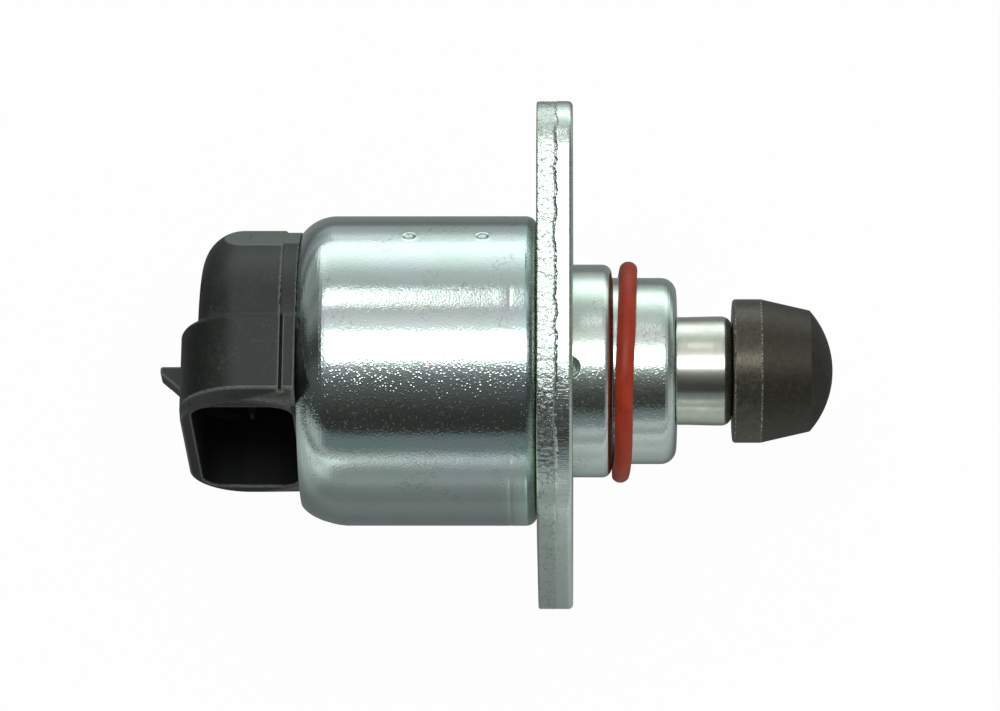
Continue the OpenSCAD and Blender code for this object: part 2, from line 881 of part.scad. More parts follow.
module rotor_hub() {
    color("ivory")
    turned() difference() {
        union() {
            band(0, bearing_bore / 2 - slip, hub_shoulder, bearing_front);
            band(0, magnet_bore / 2 - slip, magnet_back, hub_shoulder);
            band(0, journal_r, hub_back, magnet_back);
        }
        band(0, screw_r + run, hub_back - past, bearing_front + past);
    }
}

module lead_screw() {
    flat_x0 = holder_front - travel_out - pass;
    flat_x1 = guide_front + travel_in + pass;
    groove_x0 = clip_front - clip_t - slip;
    color("silver")
    difference() {
        bar(screw_r, screw_tail, screw_front);
        tube(screw_r - clip_groove, screw_d, groove_x0, clip_front + slip);
        for (side = [-1, 1]) {
            translate([flat_x0, side * (screw_flats + screw_d) / 2 - screw_r, -screw_d])
                cube([flat_x1 - flat_x0, screw_d, 2 * screw_d]);
        }
    }
}

module screw_clip() {
    clip_bore = screw_r - clip_groove + slip;
    color("silver")
    difference() {
        tube(clip_bore, clip_d / 2, clip_front - clip_t, clip_front);
        translate([clip_front - clip_t - past, 0, -clip_bore * 0.8])
            cube([clip_t + 2 * past, clip_d, clip_bore * 1.6]);
    }
}

module spring_cup() {
    wide = cup_r;
    slim = cup_r - cup_taper / 2;
    corner_x = cup_front - cup_corner_r;
    color("whitesmoke")
    turned() difference() {
        union() {
            polygon([[0, cup_rear], [slim, cup_rear], [wide, corner_x], [0, corner_x]]);
            band(0, wide - cup_corner_r, corner_x, cup_front);
            intersection() {
                translate([wide - cup_corner_r, corner_x]) circle(r = cup_corner_r);
                band(0, cup_d, corner_x, cup_front + past);
            }
        }
        band(0, slim - cup_wall, cup_rear - past, spring_front);
        band(0, screw_r + slip, spring_front - past, cup_front + past);
    }
}

module pintle_head() {
    r = pintle_d / 2;
    cone_len = pintle_len - pintle_band;
    color("darkslategray")
    turned() difference() {
        intersection() {
            polygon([
                [0, pintle_rear],
                [r - pintle_chamfer, pintle_rear],
                [r, pintle_rear + pintle_chamfer],
                [r, pintle_rear + pintle_band],
                [r - (cone_len + past) * tan(pintle_cone_angle), pintle_tip + past],
                [0, pintle_tip + past]
            ]);
            translate([0, pintle_tip - pintle_dome_r]) circle(r = pintle_dome_r);
        }
        band(0, screw_r + slip, pintle_rear - past, screw_front + pass);
    }
}

// The spring's wire, swept along its coil with closed ends
module pintle_spring() {
    sides = 8;
    per_turn = 24;
    steps = spring_turns * per_turn;
    wire_r = spring_wire / 2 - slip / 2;
    x0 = spring_rear + spring_wire / 2;
    x1 = spring_front - spring_wire / 2;
    rings = [
        for (i = [0:steps])
        let (a = 360 * i / per_turn, x = x0 + (x1 - x0) * i / steps)
        for (j = [0:sides - 1])
        let (r = spring_d / 2 + wire_r * cos(360 * j / sides))
        [x + wire_r * sin(360 * j / sides), r * cos(a), r * sin(a)]
    ];
    skin = [
        for (i = [0:steps - 1], j = [0:sides - 1])
        let (k = (j + 1) % sides, a = i * sides, b = a + sides)
        each [[a + j, b + k, b + j], [a + j, a + k, b + k]]
    ];
    ends = [
        [for (j = [0:sides - 1]) sides - 1 - j],
        [for (j = [0:sides - 1]) steps * sides + j]
    ];
    color("lightsteelblue") polyhedron(points = rings, faces = concat(skin, ends));
}

motor_can();
mounting_flange();
nose_housing();
nose_o_ring();
cup_bush();
bearing_holder();
anti_rotation_guide();
spring_seat();
bearing_outer_race();
bearing_inner_race();
bearing_cage();
bearing_balls();
bobbin(stack_front);  // bobbin_front
bobbin(stack_front - phase_len);  // bobbin_rear
winding(stack_front);  // winding_front
winding(stack_front - phase_len);  // winding_rear
rear_plate();
rear_bush();
thrust_washer();
housing_seal();
connector_housing();
rotor_magnet();
rotor_hub();
lead_screw();
spring_cup();
screw_clip();
pintle_head();
pintle_spring();
for (i = [1:4]) {
    stator_plate(i);
    terminal(i);
    coil_lead(i);
}
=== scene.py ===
"""The looks of an idle air control valve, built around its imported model.

X is the valve's axis, towards the pintle, and the origin is on the flange's mounting face.
Shapes are worked out in millimetres and the studio in metres. Angles about the axis run
from +Y towards +Z.
"""

import json
import math

import bmesh
import bpy
import numpy as np
from mathutils import Matrix, Vector, noise

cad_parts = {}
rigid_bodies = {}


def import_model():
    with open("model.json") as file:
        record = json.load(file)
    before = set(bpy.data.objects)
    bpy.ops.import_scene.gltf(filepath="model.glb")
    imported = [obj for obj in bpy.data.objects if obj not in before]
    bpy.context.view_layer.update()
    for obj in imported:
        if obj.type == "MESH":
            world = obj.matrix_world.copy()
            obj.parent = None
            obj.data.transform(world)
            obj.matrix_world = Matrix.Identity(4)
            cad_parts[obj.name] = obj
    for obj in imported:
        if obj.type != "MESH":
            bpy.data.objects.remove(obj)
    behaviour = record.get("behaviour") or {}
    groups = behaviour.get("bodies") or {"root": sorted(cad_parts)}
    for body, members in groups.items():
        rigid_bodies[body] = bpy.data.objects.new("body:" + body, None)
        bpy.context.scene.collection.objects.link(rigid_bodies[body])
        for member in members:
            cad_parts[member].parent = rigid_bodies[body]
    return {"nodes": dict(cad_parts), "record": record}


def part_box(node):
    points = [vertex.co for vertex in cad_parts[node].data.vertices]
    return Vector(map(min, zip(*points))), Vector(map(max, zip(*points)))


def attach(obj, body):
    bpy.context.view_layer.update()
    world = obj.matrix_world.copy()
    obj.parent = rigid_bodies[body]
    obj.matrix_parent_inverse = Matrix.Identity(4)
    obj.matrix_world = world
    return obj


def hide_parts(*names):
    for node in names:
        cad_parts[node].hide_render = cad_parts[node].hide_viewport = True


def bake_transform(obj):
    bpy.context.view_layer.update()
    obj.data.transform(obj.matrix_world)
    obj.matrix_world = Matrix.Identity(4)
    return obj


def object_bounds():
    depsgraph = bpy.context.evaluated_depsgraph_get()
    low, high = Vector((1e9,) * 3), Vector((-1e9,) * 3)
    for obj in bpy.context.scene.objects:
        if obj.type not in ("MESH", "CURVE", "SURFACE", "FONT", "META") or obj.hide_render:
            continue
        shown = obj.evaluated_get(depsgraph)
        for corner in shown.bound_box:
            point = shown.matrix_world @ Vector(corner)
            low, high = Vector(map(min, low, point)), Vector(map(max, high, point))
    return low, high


MM = 0.001
STAGE_SIZE = 6.0
WHITE, COOL = (1, 1, 1, 1), (0.87, 0.965, 0.955, 1)

# The photograph: its scale on the valve's axis, its frame and where the mounting face is in it
PHOTO_W, PHOTO_H = 1000, 711
MM_PER_PIXEL = 0.1034
MOUNT_COLUMN, AXIS_ROW = 573, 371
CAMERA_ELEVATION = 67.7
CAMERA_DISTANCE = 520
CAMERA_X = 1.0

# The photograph's up direction: its angle about the valve's axis, and as a vector
UP_ANGLE = 22.3
PHOTO_UP = (0.0, 0.925, 0.379)

# Flange
EAR_ANGLE = 50.3
EAR_R, MIDDLE_R = 6.0, 19.4
UPPER_EAR, LOWER_EAR = 24.15, 21.65
HOLE_R = 2.8
FLANGE_T = 3.65
RIM_POCKET_R, RIM_POCKET_T = 13.05, 1.0
REAR_EDGE_R, FRONT_EDGE_R = 0.2, 0.5
SHEAR_X = -1.72
BORDER_LAYERS = ((0.22, 0.4), (0.16, 1.5), (0.09, 4.2))
CRAG_LAYERS = ((0.03, 0.9), (0.035, 2.6), (0.022, 5.0))

# Can
CAN_R = 16.0
CAN_WALL = 0.9
CAN_CORNER_R = 1.2
CAN_REAR = -27.9
ROLL_LEN, ROLL_IN = 3.6, 1.8
DENT_ANGLE = 52.8
DENT_XS = (-9.2, -16.65)
DENT_R, DENT_DEPTH = 0.72, 0.17
SAG, SAG_XS = 0.28, (-23.3, -26.2)
FAINT_RING_X, FAINT_LIP_X = -6.35, -7.3

# Nose, O-ring, cup and pintle
COLLAR_R, COLLAR_LEN, COLLAR_CORNER = 11.0, 4.0, 1.0
SEAT_R, NOSE_LEN, NOSE_CORNER = 9.62, 10.65, 1.6
NOSE_WALL = 1.0
STAKE_ANGLES = (110.3, -9.7, 230.3)
STAKE_W, STAKE_LEN, STAKE_DEPTH = 2.1, 0.72, 0.5
RING_X, RING_R = 5.3, 10.52
RING_HALF_X, RING_HALF_R = 0.93, 0.85
RING_LEAN = 1.9
CUP_R, CUP_WALL, CUP_CORNER = 5.65, 0.5, 1.1
CUP_REAR, CUP_SWELL_XS = 6.6, (11.8, 14.4)
PINTLE_R = 7.42
PINTLE_REAR, PINTLE_BAND, PINTLE_TIP = 16.44, 2.9, 26.8
PINTLE_CONE, PINTLE_DOME_R = 12.9, 9.4
SCREW_HOLE_R, SCREW_HOLE_END = 2.06, 21.7

# Connector
BODY_R, NECK_R, BODY_EDGE_R = 14.5, 14.3, 4.2
BODY_REAR, SOCKET_REAR = -38.1, -39.9
NECK_LEN = 1.6
FLAT_R, FLAT_END, MOUTH_Y = 14.7, -7.75, -8.55
BLOCK_TOP, BLOCK_EDGE_R, BLOCK_CORNER_R = 0.5, 0.6, 6.5
RIM_IN, RIM_CORNER_R = 1.9, 6.0
CAVITY_FRONT = -28.4
SOCKET_WALL, STEP_WALL = 1.25, 1.2
CAVITY_HALF_W, CAVITY_CORNER, CAVITY_DEPTH = 11.2, 2.6, 5.5
GROOVE_X, GROOVE_W, GROOVE_DEPTH = -29.4, 0.28, 0.4
LATCH_TIP, LATCH_W, LATCH_Y = -42.6, 2.56, -0.05
LATCH_TOP, LATCH_FOOT = 0.72, 3.15
LAND_ANGLE, LAND_REACH = 35.3, 14.13
SEAM_X = CAN_REAR - 0.05
DISC_R, DISC_X, DISC_T = 15.05, -24.175, 0.25
STEM_R, STEM_X, STEM_LEN = 13.5, -26.0, 3.9
POCKET_R, POCKET_REAR = 4.05, -24.8
SKIN_LOW, SKIN_HIGH, SKIN_CELL = (-43.0, -15.6, -15.6), (-23.6, 15.8, 15.6), 0.21
EDGE_REACH = 0.15

# Plating
TINT_STOPS = (0.38, 0.46, 0.54, 0.62)
# The fold colour is painted shade in the folds of the flange's torn edge, and a slightly darker tone over
# the whole torn zone.
CRACK_COLOUR, TORN_TONE_AND_FOLD_SHADE = (0.05, 0.055, 0.05, 1), (0.06, 0.065, 0.06, 1)
CRYSTALS_PER_MM = 3.9
SHEEN_XS, WRINKLE_XS = (-6.5, -3.7), (-25.0, -26.4)
SHEEN = (
    (0.0, (0.9, 0.9, 0.9)),
    (0.4, (0.88, 0.93, 0.9)),
    (0.7, (0.84, 0.93, 0.96)),
    (0.92, (0.97, 0.94, 0.82)),
)

# Plastics: the size of the grain, and tones over the noise, from dark to light
GRAIN_SIZE = 0.22
CONNECTOR_TONES = (
    (0.38, (0.006, 0.0065, 0.005)),
    (0.54, (0.012, 0.013, 0.0105)),
    (0.66, (0.036, 0.038, 0.031)),
)
PINTLE_TONES = (
    (0.36, (0.019, 0.02, 0.014)),
    (0.55, (0.038, 0.04, 0.03)),
    (0.68, (0.062, 0.06, 0.046)),
)

# What the metal mirrors of the room: levels at angles in degrees from +Z towards +Y
LAMP_DISTANCE = 0.75
ROOM_BANDS = (
    (-90, 0.61), (-88, 0.59), (-86.3, 0.4), (-84, (0.22, 0.24, 0.245)), (-71, (0.19, 0.22, 0.23)),
    (-68.5, (0.042, 0.038, 0.034)), (-56, (0.046, 0.04, 0.037)), (-50, (0.054, 0.048, 0.046)),
    (-45, (0.075, 0.07, 0.068)), (-37, (0.12, 0.112, 0.112)), (-31, (0.15, 0.143, 0.145)),
    (-25, (0.235, 0.23, 0.235)), (-18, (0.5, 0.47, 0.48)), (-14, 1.05), (9, 1.14),
    (13, (1.0, 0.93, 0.95)), (19, (0.84, 0.78, 0.8)), (25, (0.68, 0.62, 0.63)),
    (45, 0.61), (57, 0.72), (64, 1.1), (71, 1.45), (78, 1.72), (90, 1.68),
)
REAR_BANDS = (
    (-90, 0.52), (-78, 0.55), (-72, 0.42), (-66, 0.07), (-60, 0.05), (-48, 0.08), (-22, 0.11),
    (-6, 0.06), (6, 0.07), (19, 0.19), (32, 0.29), (45, 0.22), (58, 0.34), (71, 0.31), (90, 0.48),
)
FRONT_BANDS = (
    (-90, 0.5), (-60, 0.42), (-40, 0.28), (-10, 0.14), (20, 0.2), (50, 0.18), (75, 0.4), (90, 0.35),
)
FAR_REAR = (0.05, 0.05, 0.046, 1)

# The same of the floor: levels at distances across it, in millimetres
FLOOR_REACH = 300
FLOOR_BANDS = (
    (-300, 0.55), (-185, 0.355), (-118, 0.36), (-85, 0.4), (-66, 0.285), (-53, 0.25), (-43, 0.23),
    (-36, 0.265), (-29, 0.235), (-22, 0.19), (0, 0.16), (27, 0.28), (50, 0.25), (66, 0.22),
    (74, 0.15), (82, 0.36), (92, 0.46), (170, 0.6), (300, 1.12),
)


def outline(corners, steps):
    """A closed profile of (x, radius) points from (x, radius, corner radius) corners."""
    points = []
    for i, (x, r, bend) in enumerate(corners):
        here = np.array([x, r], float)
        if bend <= 0:
            points.append(here)
            continue
        before = np.array(corners[i - 1][:2], float) - here
        after = np.array(corners[(i + 1) % len(corners)][:2], float) - here
        before /= np.linalg.norm(before)
        after /= np.linalg.norm(after)
        half = math.acos(np.clip(before @ after, -1, 1)) / 2
        reach = bend / math.tan(half)
        centre = here + (before + after) / np.linalg.norm(before + after) * bend / math.sin(half)
        first, last = here + before * reach - centre, here + after * reach - centre
        turn = math.acos(np.clip(first @ last / bend**2, -1, 1))
        for t in np.linspace(0, 1, steps):
            spoke = math.sin((1 - t) * turn) * first + math.sin(t * turn) * last
            points.append(centre + spoke / math.sin(turn))
    return np.array(points)


def refine(points, step, guard=0.04):
    """Adds points along a profile's long straights, and close to both ends of each."""
    fine = []
    for i, a in enumerate(points):
        b = points[(i + 1) % len(points)]
        length = np.linalg.norm(b - a)
        fine.append(a)
        if length > 4 * guard:
            count = max(1, int(length / step))
            inner = [k / count for k in range(1, count)]
            for t in [guard / length, *inner, 1 - guard / length]:
                fine.append(a + (b - a) * t)
    return np.array(fine)


def put(name, data):
    piece = bpy.data.objects.new(name, data)
    bpy.context.scene.collection.objects.link(piece)
    return piece


def finish_mesh(bm, name, sharp=38):
    """Turns a bmesh in millimetres into a smooth object with its true edges kept sharp."""
    bmesh.ops.remove_doubles(bm, verts=bm.verts, dist=1e-4)
    bmesh.ops.recalc_face_normals(bm, faces=bm.faces)
    bmesh.ops.scale(bm, vec=(MM, MM, MM), verts=bm.verts)
    mesh = bpy.data.meshes.new(name)
    bm.to_mesh(mesh)
    bm.free()
    mesh.shade_smooth()
    mesh.set_sharp_from_angle(angle=math.radians(sharp))
    return put(name, mesh)


def denser(profile, radius, low, high, xs):
    """Adds points at xs to a profile's straight run at a radius, between low and high."""
    x, r = profile.T
    on_run = (np.abs(r - radius) < 1e-6) & (x > low) & (x < high)
    first, last = np.flatnonzero(on_run)[[0, -1]]
    run = np.vstack([profile[first : last + 1], [(at, radius) for at in xs]])
    way = np.sign(x[last] - x[first])
    return np.vstack([profile[:first], run[np.argsort(way * run[:, 0])], profile[last + 1 :]])


def about_axis(x, r, a):
    return np.stack([x, r * np.cos(a), r * np.sin(a)], axis=-1)


def grid_faces(bm, points, wrap_rows=True):
    """Quads over a grid of points whose columns are joined round, and its rows if wrap_rows."""
    rows, columns = points.shape[:2]
    verts = [bm.verts.new(p) for p in points.reshape(-1, 3)]
    for i in range(rows if wrap_rows else rows - 1):
        for j in range(columns):
            k, m = (i + 1) % rows, (j + 1) % columns
            corners = (i, j), (k, j), (k, m), (i, m)
            bm.faces.new([verts[row * columns + column] for row, column in corners])
    return verts


def ring_angles(count, dense=()):
    """Angles round the axis, closer together near each (centre, half width, step)."""
    angles = set(np.round(np.arange(count) * 360 / count, 3))
    for centre, half, step in dense:
        near = np.arange(centre - half, centre + half + step / 2, step) % 360
        angles |= set(np.round(near, 3))
    return np.radians(sorted(angles))


def turned(name, profile, angles, shape=None):
    """A turned piece. shape moves (x, radius) at each angle."""
    a, x = np.meshgrid(angles, profile[:, 0], indexing="ij")
    r = np.broadcast_to(profile[:, 1], a.shape).copy()
    if shape:
        x, r = shape(x, r, a)
    bm = bmesh.new()
    grid_faces(bm, about_axis(x, r, a))
    return finish_mesh(bm, name)


def smooth_step(t):
    t = np.clip(t, 0, 1)
    return t * t * (3 - 2 * t)


def angle_between(a, degrees):
    """The angle from a direction, from -pi to pi."""
    return (a - math.radians(degrees) + math.pi) % (2 * math.pi) - math.pi


# Node helpers


def add(tree, kind, inputs=None, **settings):
    node = tree.nodes.new("ShaderNode" + kind)
    for key, value in settings.items():
        setattr(node, key, value)
    for key, value in (inputs or {}).items():
        if isinstance(value, bpy.types.NodeSocket):
            tree.links.new(value, node.inputs[key])
        else:
            node.inputs[key].default_value = value
    return node


def math_node(tree, operation, a, b=0.0):
    return add(tree, "Math", {0: a, 1: b}, operation=operation).outputs[0]


def product(tree, first, *others):
    for value in others:
        first = math_node(tree, "MULTIPLY", first, value)
    return first


def weighted(tree, share, a, b):
    """A mean of a and b, in which a has a share."""
    return math_node(tree, "ADD", product(tree, a, share), product(tree, b, 1 - share))


def off_middle(tree, value, middle=0.5):
    """How far a value is from a middle: for noise, close to zero along wandering lines."""
    return math_node(tree, "ABSOLUTE", math_node(tree, "SUBTRACT", value, middle))


def mix(tree, share, a, b, blend="MIX"):
    """Mixes the colour b into the colour a."""
    inputs = {"Factor": share, "A": a, "B": b}
    return add(tree, "Mix", inputs, data_type="RGBA", blend_type=blend).outputs["Result"]


def mix_value(tree, share, a, b):
    return add(tree, "Mix", {"Factor": share, "A": a, "B": b}).outputs["Result"]


def place(tree, scale=(1, 1, 1)):
    """The place on the piece, in millimetres times scale."""
    coordinates = add(tree, "TexCoord").outputs["Object"]
    return add(tree, "Mapping", {"Vector": coordinates, "Scale": [s / MM for s in scale]}).outputs[0]


def noise_of(tree, where, scale, detail=2.0, rough=0.5):
    """Noise from 0 to 1 whose cells are 1/scale millimetres wide."""
    inputs = {"Vector": where, "Scale": scale, "Detail": detail, "Roughness": rough}
    return add(tree, "TexNoise", inputs).outputs["Fac"]


def ramp(tree, value, stops):
    node = add(tree, "ValToRGB", {"Fac": value})
    elements = node.color_ramp.elements
    while len(elements) < len(stops):
        elements.new(0.5)
    for element, (position, colour) in zip(elements, stops):
        element.position = position
        colour = (colour,) * 3 if isinstance(colour, (int, float)) else colour
        element.color = (*colour, 1)
    return node.outputs["Color"]


def spread(tree, value, low, high, to_low=0.0, to_high=1.0):
    """Maps a value from one range to another, and holds it there."""
    inputs = {"Value": value, "From Min": low, "From Max": high, "To Min": to_low, "To Max": to_high}
    return add(tree, "MapRange", inputs).outputs["Result"]


def along(tree, where, direction):
    """How far a place lies along a direction."""
    return add(tree, "VectorMath", {0: where, 1: direction}, operation="DOT_PRODUCT").outputs["Value"]


def bump(tree, height, distance_mm, normal=None):
    inputs = {"Height": height, "Distance": distance_mm * MM}
    if normal is not None:
        inputs["Normal"] = normal
    return add(tree, "Bump", inputs).outputs["Normal"]


def material(**values):
    """A new material, its tree and its shader, with constants on the shader's own sockets."""
    made = bpy.data.materials.new("made")
    made.use_nodes = True
    shader = made.node_tree.nodes["Principled BSDF"]
    for key, value in values.items():
        socket = shader.inputs[key.replace("_", " ")]
        socket.default_value = (*value, 1) if isinstance(value, tuple) else value
    return made, made.node_tree, shader


def finished(made, shader, colour, roughness, normal):
    for name, socket in (("Base Color", colour), ("Roughness", roughness), ("Normal", normal)):
        made.node_tree.links.new(socket, shader.inputs[name])
    return made


def passivate(tree, where, grain, tints):
    """The tinted film on the zinc, with stains and hairline cracks."""
    drift = noise_of(tree, where, 0.13, detail=4, rough=0.55)
    colour = ramp(tree, weighted(tree, 0.75, drift, grain), list(zip(TINT_STOPS, tints)))
    blotches = noise_of(tree, where, 0.55, detail=6, rough=0.75)
    dark = [c * 0.55 for c in tints[0]]
    colour = mix(tree, spread(tree, blotches, 0.62, 0.75, 0.0, 0.35), colour, (*dark, 1))
    lines = off_middle(tree, noise_of(tree, where, 1.2, detail=4, rough=0.6))
    patches = spread(tree, noise_of(tree, where, 0.3), 0.56, 0.64)
    cracks = product(tree, spread(tree, lines, 0.004, 0.014, 0.5, 0.0), patches)
    return mix(tree, cracks, colour, CRACK_COLOUR)


def plating_bumps(tree, where, upward, peel, spots, lines):
    """Waves, orange peel, turning lines, and crystals that stand out in a band below the middle."""
    normal = bump(tree, noise_of(tree, where, 0.7), 0.006)
    normal = bump(tree, noise_of(tree, where, 4.2, rough=0.6), peel, normal)
    crystals = add(tree, "TexVoronoi", {"Vector": where, "Scale": CRYSTALS_PER_MM})
    size = add(tree, "SeparateColor", {0: crystals.outputs["Color"]}).outputs[0]
    cones = product(
        tree,
        spread(tree, crystals.outputs["Distance"], 0.0, 0.45, 1, 0),
        math_node(tree, "POWER", size, 0.9),
        spread(tree, upward, 0.2, 2.6, 1.0, 0.12),
        spread(tree, upward, -7.0, -3.5, 0.1, 1.0),
    )
    normal = bump(tree, cones, spots, normal)
    if lines:
        turning = noise_of(tree, place(tree, (6.0, 0.4, 0.4)), 1.0, detail=3, rough=0.6)
        normal = bump(tree, turning, lines, normal)
    return normal


def can_ends(tree, where, colour, normal):
    """A sheen round the can's front corner, and wrinkles in its rolled rear edge."""
    along_x = along(tree, where, (1, 0, 0))
    sheen = ramp(tree, spread(tree, along_x, *SHEEN_XS), SHEEN)
    wrinkles = noise_of(tree, place(tree, (2.4, 0.35, 0.35)), 1.0, detail=5, rough=0.7)
    wrinkles = product(tree, wrinkles, spread(tree, along_x, *WRINKLE_XS))
    return mix(tree, 1.0, colour, sheen, "MULTIPLY"), bump(tree, wrinkles, 0.022, normal)


def blanked_edge(tree, where, upward, colour, normal):
    """The flange's edge: torn and folded behind, with painted shade in the folds, sheared in fine lines in
    front, calm low down.
    """
    torn = spread(tree, along(tree, where, (1, 0, 0)), SHEAR_X - 0.1, SHEAR_X + 0.05, 1, 0)
    lines = off_middle(tree, noise_of(tree, where, 1.5, detail=3, rough=0.6))
    patches = spread(tree, noise_of(tree, where, 0.9), 0.45, 0.56, 0.05, 1.0)
    # Painted shade: thin dark lines in the creases of the folds, over a slightly darker tone for the torn
    # zone.
    fold_shade = product(tree, spread(tree, lines, 0.008, 0.026, 0.7, 0.0), patches)
    shaded = product(tree, math_node(tree, "MAXIMUM", fold_shade, 0.16), torn)
    crackle = noise_of(tree, where, 4.2, detail=4, rough=0.7)
    calm = spread(tree, upward, -12.0, -7.0, 0.2, 1.0)
    normal = bump(tree, product(tree, crackle, torn, calm), 0.05, normal)
    shear = noise_of(tree, place(tree, (0.12, 1, 1)), 6.5, rough=0.6)
    sheared = product(tree, spread(tree, shear, 0.52, 0.66), math_node(tree, "SUBTRACT", 1.0, torn))
    return mix(tree, shaded, colour, TORN_TONE_AND_FOLD_SHADE), bump(tree, sheared, 0.006, normal)


def zinc(tints, rough=0.1, peel=0.011, spots=0.027, torn=False, lines=0.0, ends=False):
    """Zinc plate under a thin passivate: tinted, with tiny crystal bumps, scratches and stains."""
    made, tree, shader = material(Metallic=1.0)
    where = place(tree)
    upward = along(tree, where, PHOTO_UP)
    grain = noise_of(tree, where, 1.8, detail=4, rough=0.65)
    colour = passivate(tree, where, grain, tints)
    normal = plating_bumps(tree, where, upward, peel, spots, lines)
    if ends:
        colour, normal = can_ends(tree, where, colour, normal)
    if torn:
        colour, normal = blanked_edge(tree, where, upward, colour, normal)
    streaks = noise_of(tree, place(tree, (0.25, 3.0, 3.0)), 1.0, detail=4, rough=0.65)
    wear = math_node(tree, "ADD", grain, streaks)
    roughness = spread(tree, wear, 0.75, 1.25, rough * 0.75, rough * 1.35)
    return finished(made, shader, colour, roughness, normal)


def plastic(colour, light, rough):
    """Moulded plastic: fine grain, faint flow marks and dull, lighter patches."""
    made, tree, shader = material()
    where = place(tree)
    patches = noise_of(tree, where, 0.35, detail=5, rough=0.65)
    specks = noise_of(tree, where, 2.2, detail=3, rough=0.7)
    mixed = weighted(tree, 0.65, patches, specks)
    tone = ramp(tree, mixed, [(0.35, colour), (0.7, light)])
    roughness = spread(tree, mixed, 0.35, 0.7, rough * 0.85, rough * 1.2)
    grain = noise_of(tree, where, 1 / GRAIN_SIZE, detail=3, rough=0.6)
    flow = noise_of(tree, where, 0.25)
    normal = bump(tree, flow, 0.03, bump(tree, grain, 0.004))
    return finished(made, shader, tone, roughness, normal)


def within(tree, where, lows, highs, room=0.05):
    """One in a box that is larger all round by room, and zero outside it."""
    share = 1.0
    for axis, low, high in zip("XYZ", lows, highs):
        value = add(tree, "SeparateXYZ", {0: where}).outputs[axis]
        above = spread(tree, value, low - 2 * room, low - room)
        below = spread(tree, value, high + 2 * room, high + room)
        share = product(tree, share, above, below)
    return share


def connector_plastic():
    """Black moulding: grained, with painted highlights on its land and edges, and painted shade in its
    hollows and socket.
    """
    made, tree, shader = material(Specular_IOR_Level=0.52)
    where = place(tree)
    patches = noise_of(tree, where, 0.35, detail=5, rough=0.65)
    specks = noise_of(tree, where, 2.8, detail=4, rough=0.85)
    mixed = weighted(tree, 0.45, patches, specks)
    tone = ramp(tree, mixed, CONNECTOR_TONES)
    turn = math.radians(LAND_ANGLE)
    outward = along(tree, where, (0.0, math.cos(turn), math.sin(turn)))
    edge = add(tree, "Attribute", attribute_name="edge").outputs["Fac"]
    # Painted highlight: pale colour along the convex edges, in broken lines, where light catches them.
    edge_highlight = product(tree, spread(tree, edge, 0.12, 0.75), spread(tree, specks, 0.36, 0.5, 0.3, 0.85))
    # Painted shade: the inside of the socket is painted near black, and it is also made rougher.
    shaded_socket = within(
        tree,
        where,
        (SOCKET_REAR + SOCKET_WALL, MOUTH_Y + 0.35, -CAVITY_HALF_W),
        (CAVITY_FRONT, CAVITY_DEPTH, CAVITY_HALF_W),
    )
    for share, shade in (
        # Painted highlight: the land, which faces up towards the lamps, is painted paler.
        (spread(tree, outward, LAND_REACH - 0.14, LAND_REACH - 0.04), (0.12, 0.138, 0.116, 1)),
        # Painted shade: near black in the hollows between faces.
        (spread(tree, edge, -0.4, -1.0), (0.002, 0.002, 0.002, 1)),
        (edge_highlight, (0.15, 0.16, 0.14, 1)),
        (shaded_socket, (0.003, 0.003, 0.003, 1)),
    ):
        tone = mix(tree, share, tone, shade)
    roughness = mix_value(tree, shaded_socket, spread(tree, mixed, 0.38, 0.66, 0.38, 0.5), 0.75)
    grain = noise_of(tree, where, 4.6, detail=3, rough=0.6)
    normal = bump(tree, noise_of(tree, where, 0.25), 0.03, bump(tree, grain, 0.01))
    return finished(made, shader, tone, roughness, normal)


def pintle_plastic():
    """Black resin: a burnished, warm band with painted highlights on its rims, and a matt cone with fine
    specks.
    """
    made, tree, shader = material(Specular_Tint=(1.0, 0.84, 0.68), Specular_IOR_Level=0.68)
    where = place(tree)
    band_end = PINTLE_REAR + PINTLE_BAND
    along_x = along(tree, where, (1, 0, 0))
    on_cone = spread(tree, along_x, band_end - 0.14, band_end + 0.11)
    mottle = noise_of(tree, where, 1.6, detail=5, rough=0.75)
    tone = mix(tree, product(tree, on_cone, 0.62), ramp(tree, mottle, PINTLE_TONES), (0, 0, 0, 1))
    dots = spread(tree, noise_of(tree, where, 5.0), 0.46, 0.6)
    # Painted highlight: broken pale warm lines round both rims of the band.
    for rim in (PINTLE_REAR + 0.16, band_end - 0.02):
        off_rim = off_middle(tree, along_x, rim)
        rim_highlight = product(tree, spread(tree, off_rim, 0.05, 0.11, 1, 0), dots)
        tone = mix(tree, rim_highlight, tone, (0.27, 0.245, 0.2, 1))
    rub = noise_of(tree, place(tree, (4.0, 0.6, 0.6)), 1.0, detail=4, rough=0.7)
    roughness = mix_value(tree, on_cone, spread(tree, rub, 0.35, 0.7, 0.22, 0.38), 0.46)
    specks = spread(tree, noise_of(tree, where, 4.2, rough=0.6), 0.58, 0.72)
    normal = bump(tree, specks, 0.012, bump(tree, mottle, 0.012))
    return finished(made, shader, tone, roughness, normal)


def rubber(colour, dark, rough):
    """Moulded rubber: satin, with a faint bloom, fine pits and dust."""
    made, tree, shader = material(Specular_IOR_Level=0.3)
    where = place(tree)
    bloom = noise_of(tree, where, 0.5, detail=4, rough=0.6)
    tone = ramp(tree, bloom, [(0.3, dark), (0.62, colour)])
    roughness = spread(tree, noise_of(tree, where, 2.0, detail=3), 0.3, 0.7, rough * 0.85, rough * 1.2)
    pits = noise_of(tree, where, 5.0, detail=3)
    return finished(made, shader, tone, roughness, bump(tree, pits, 0.004))


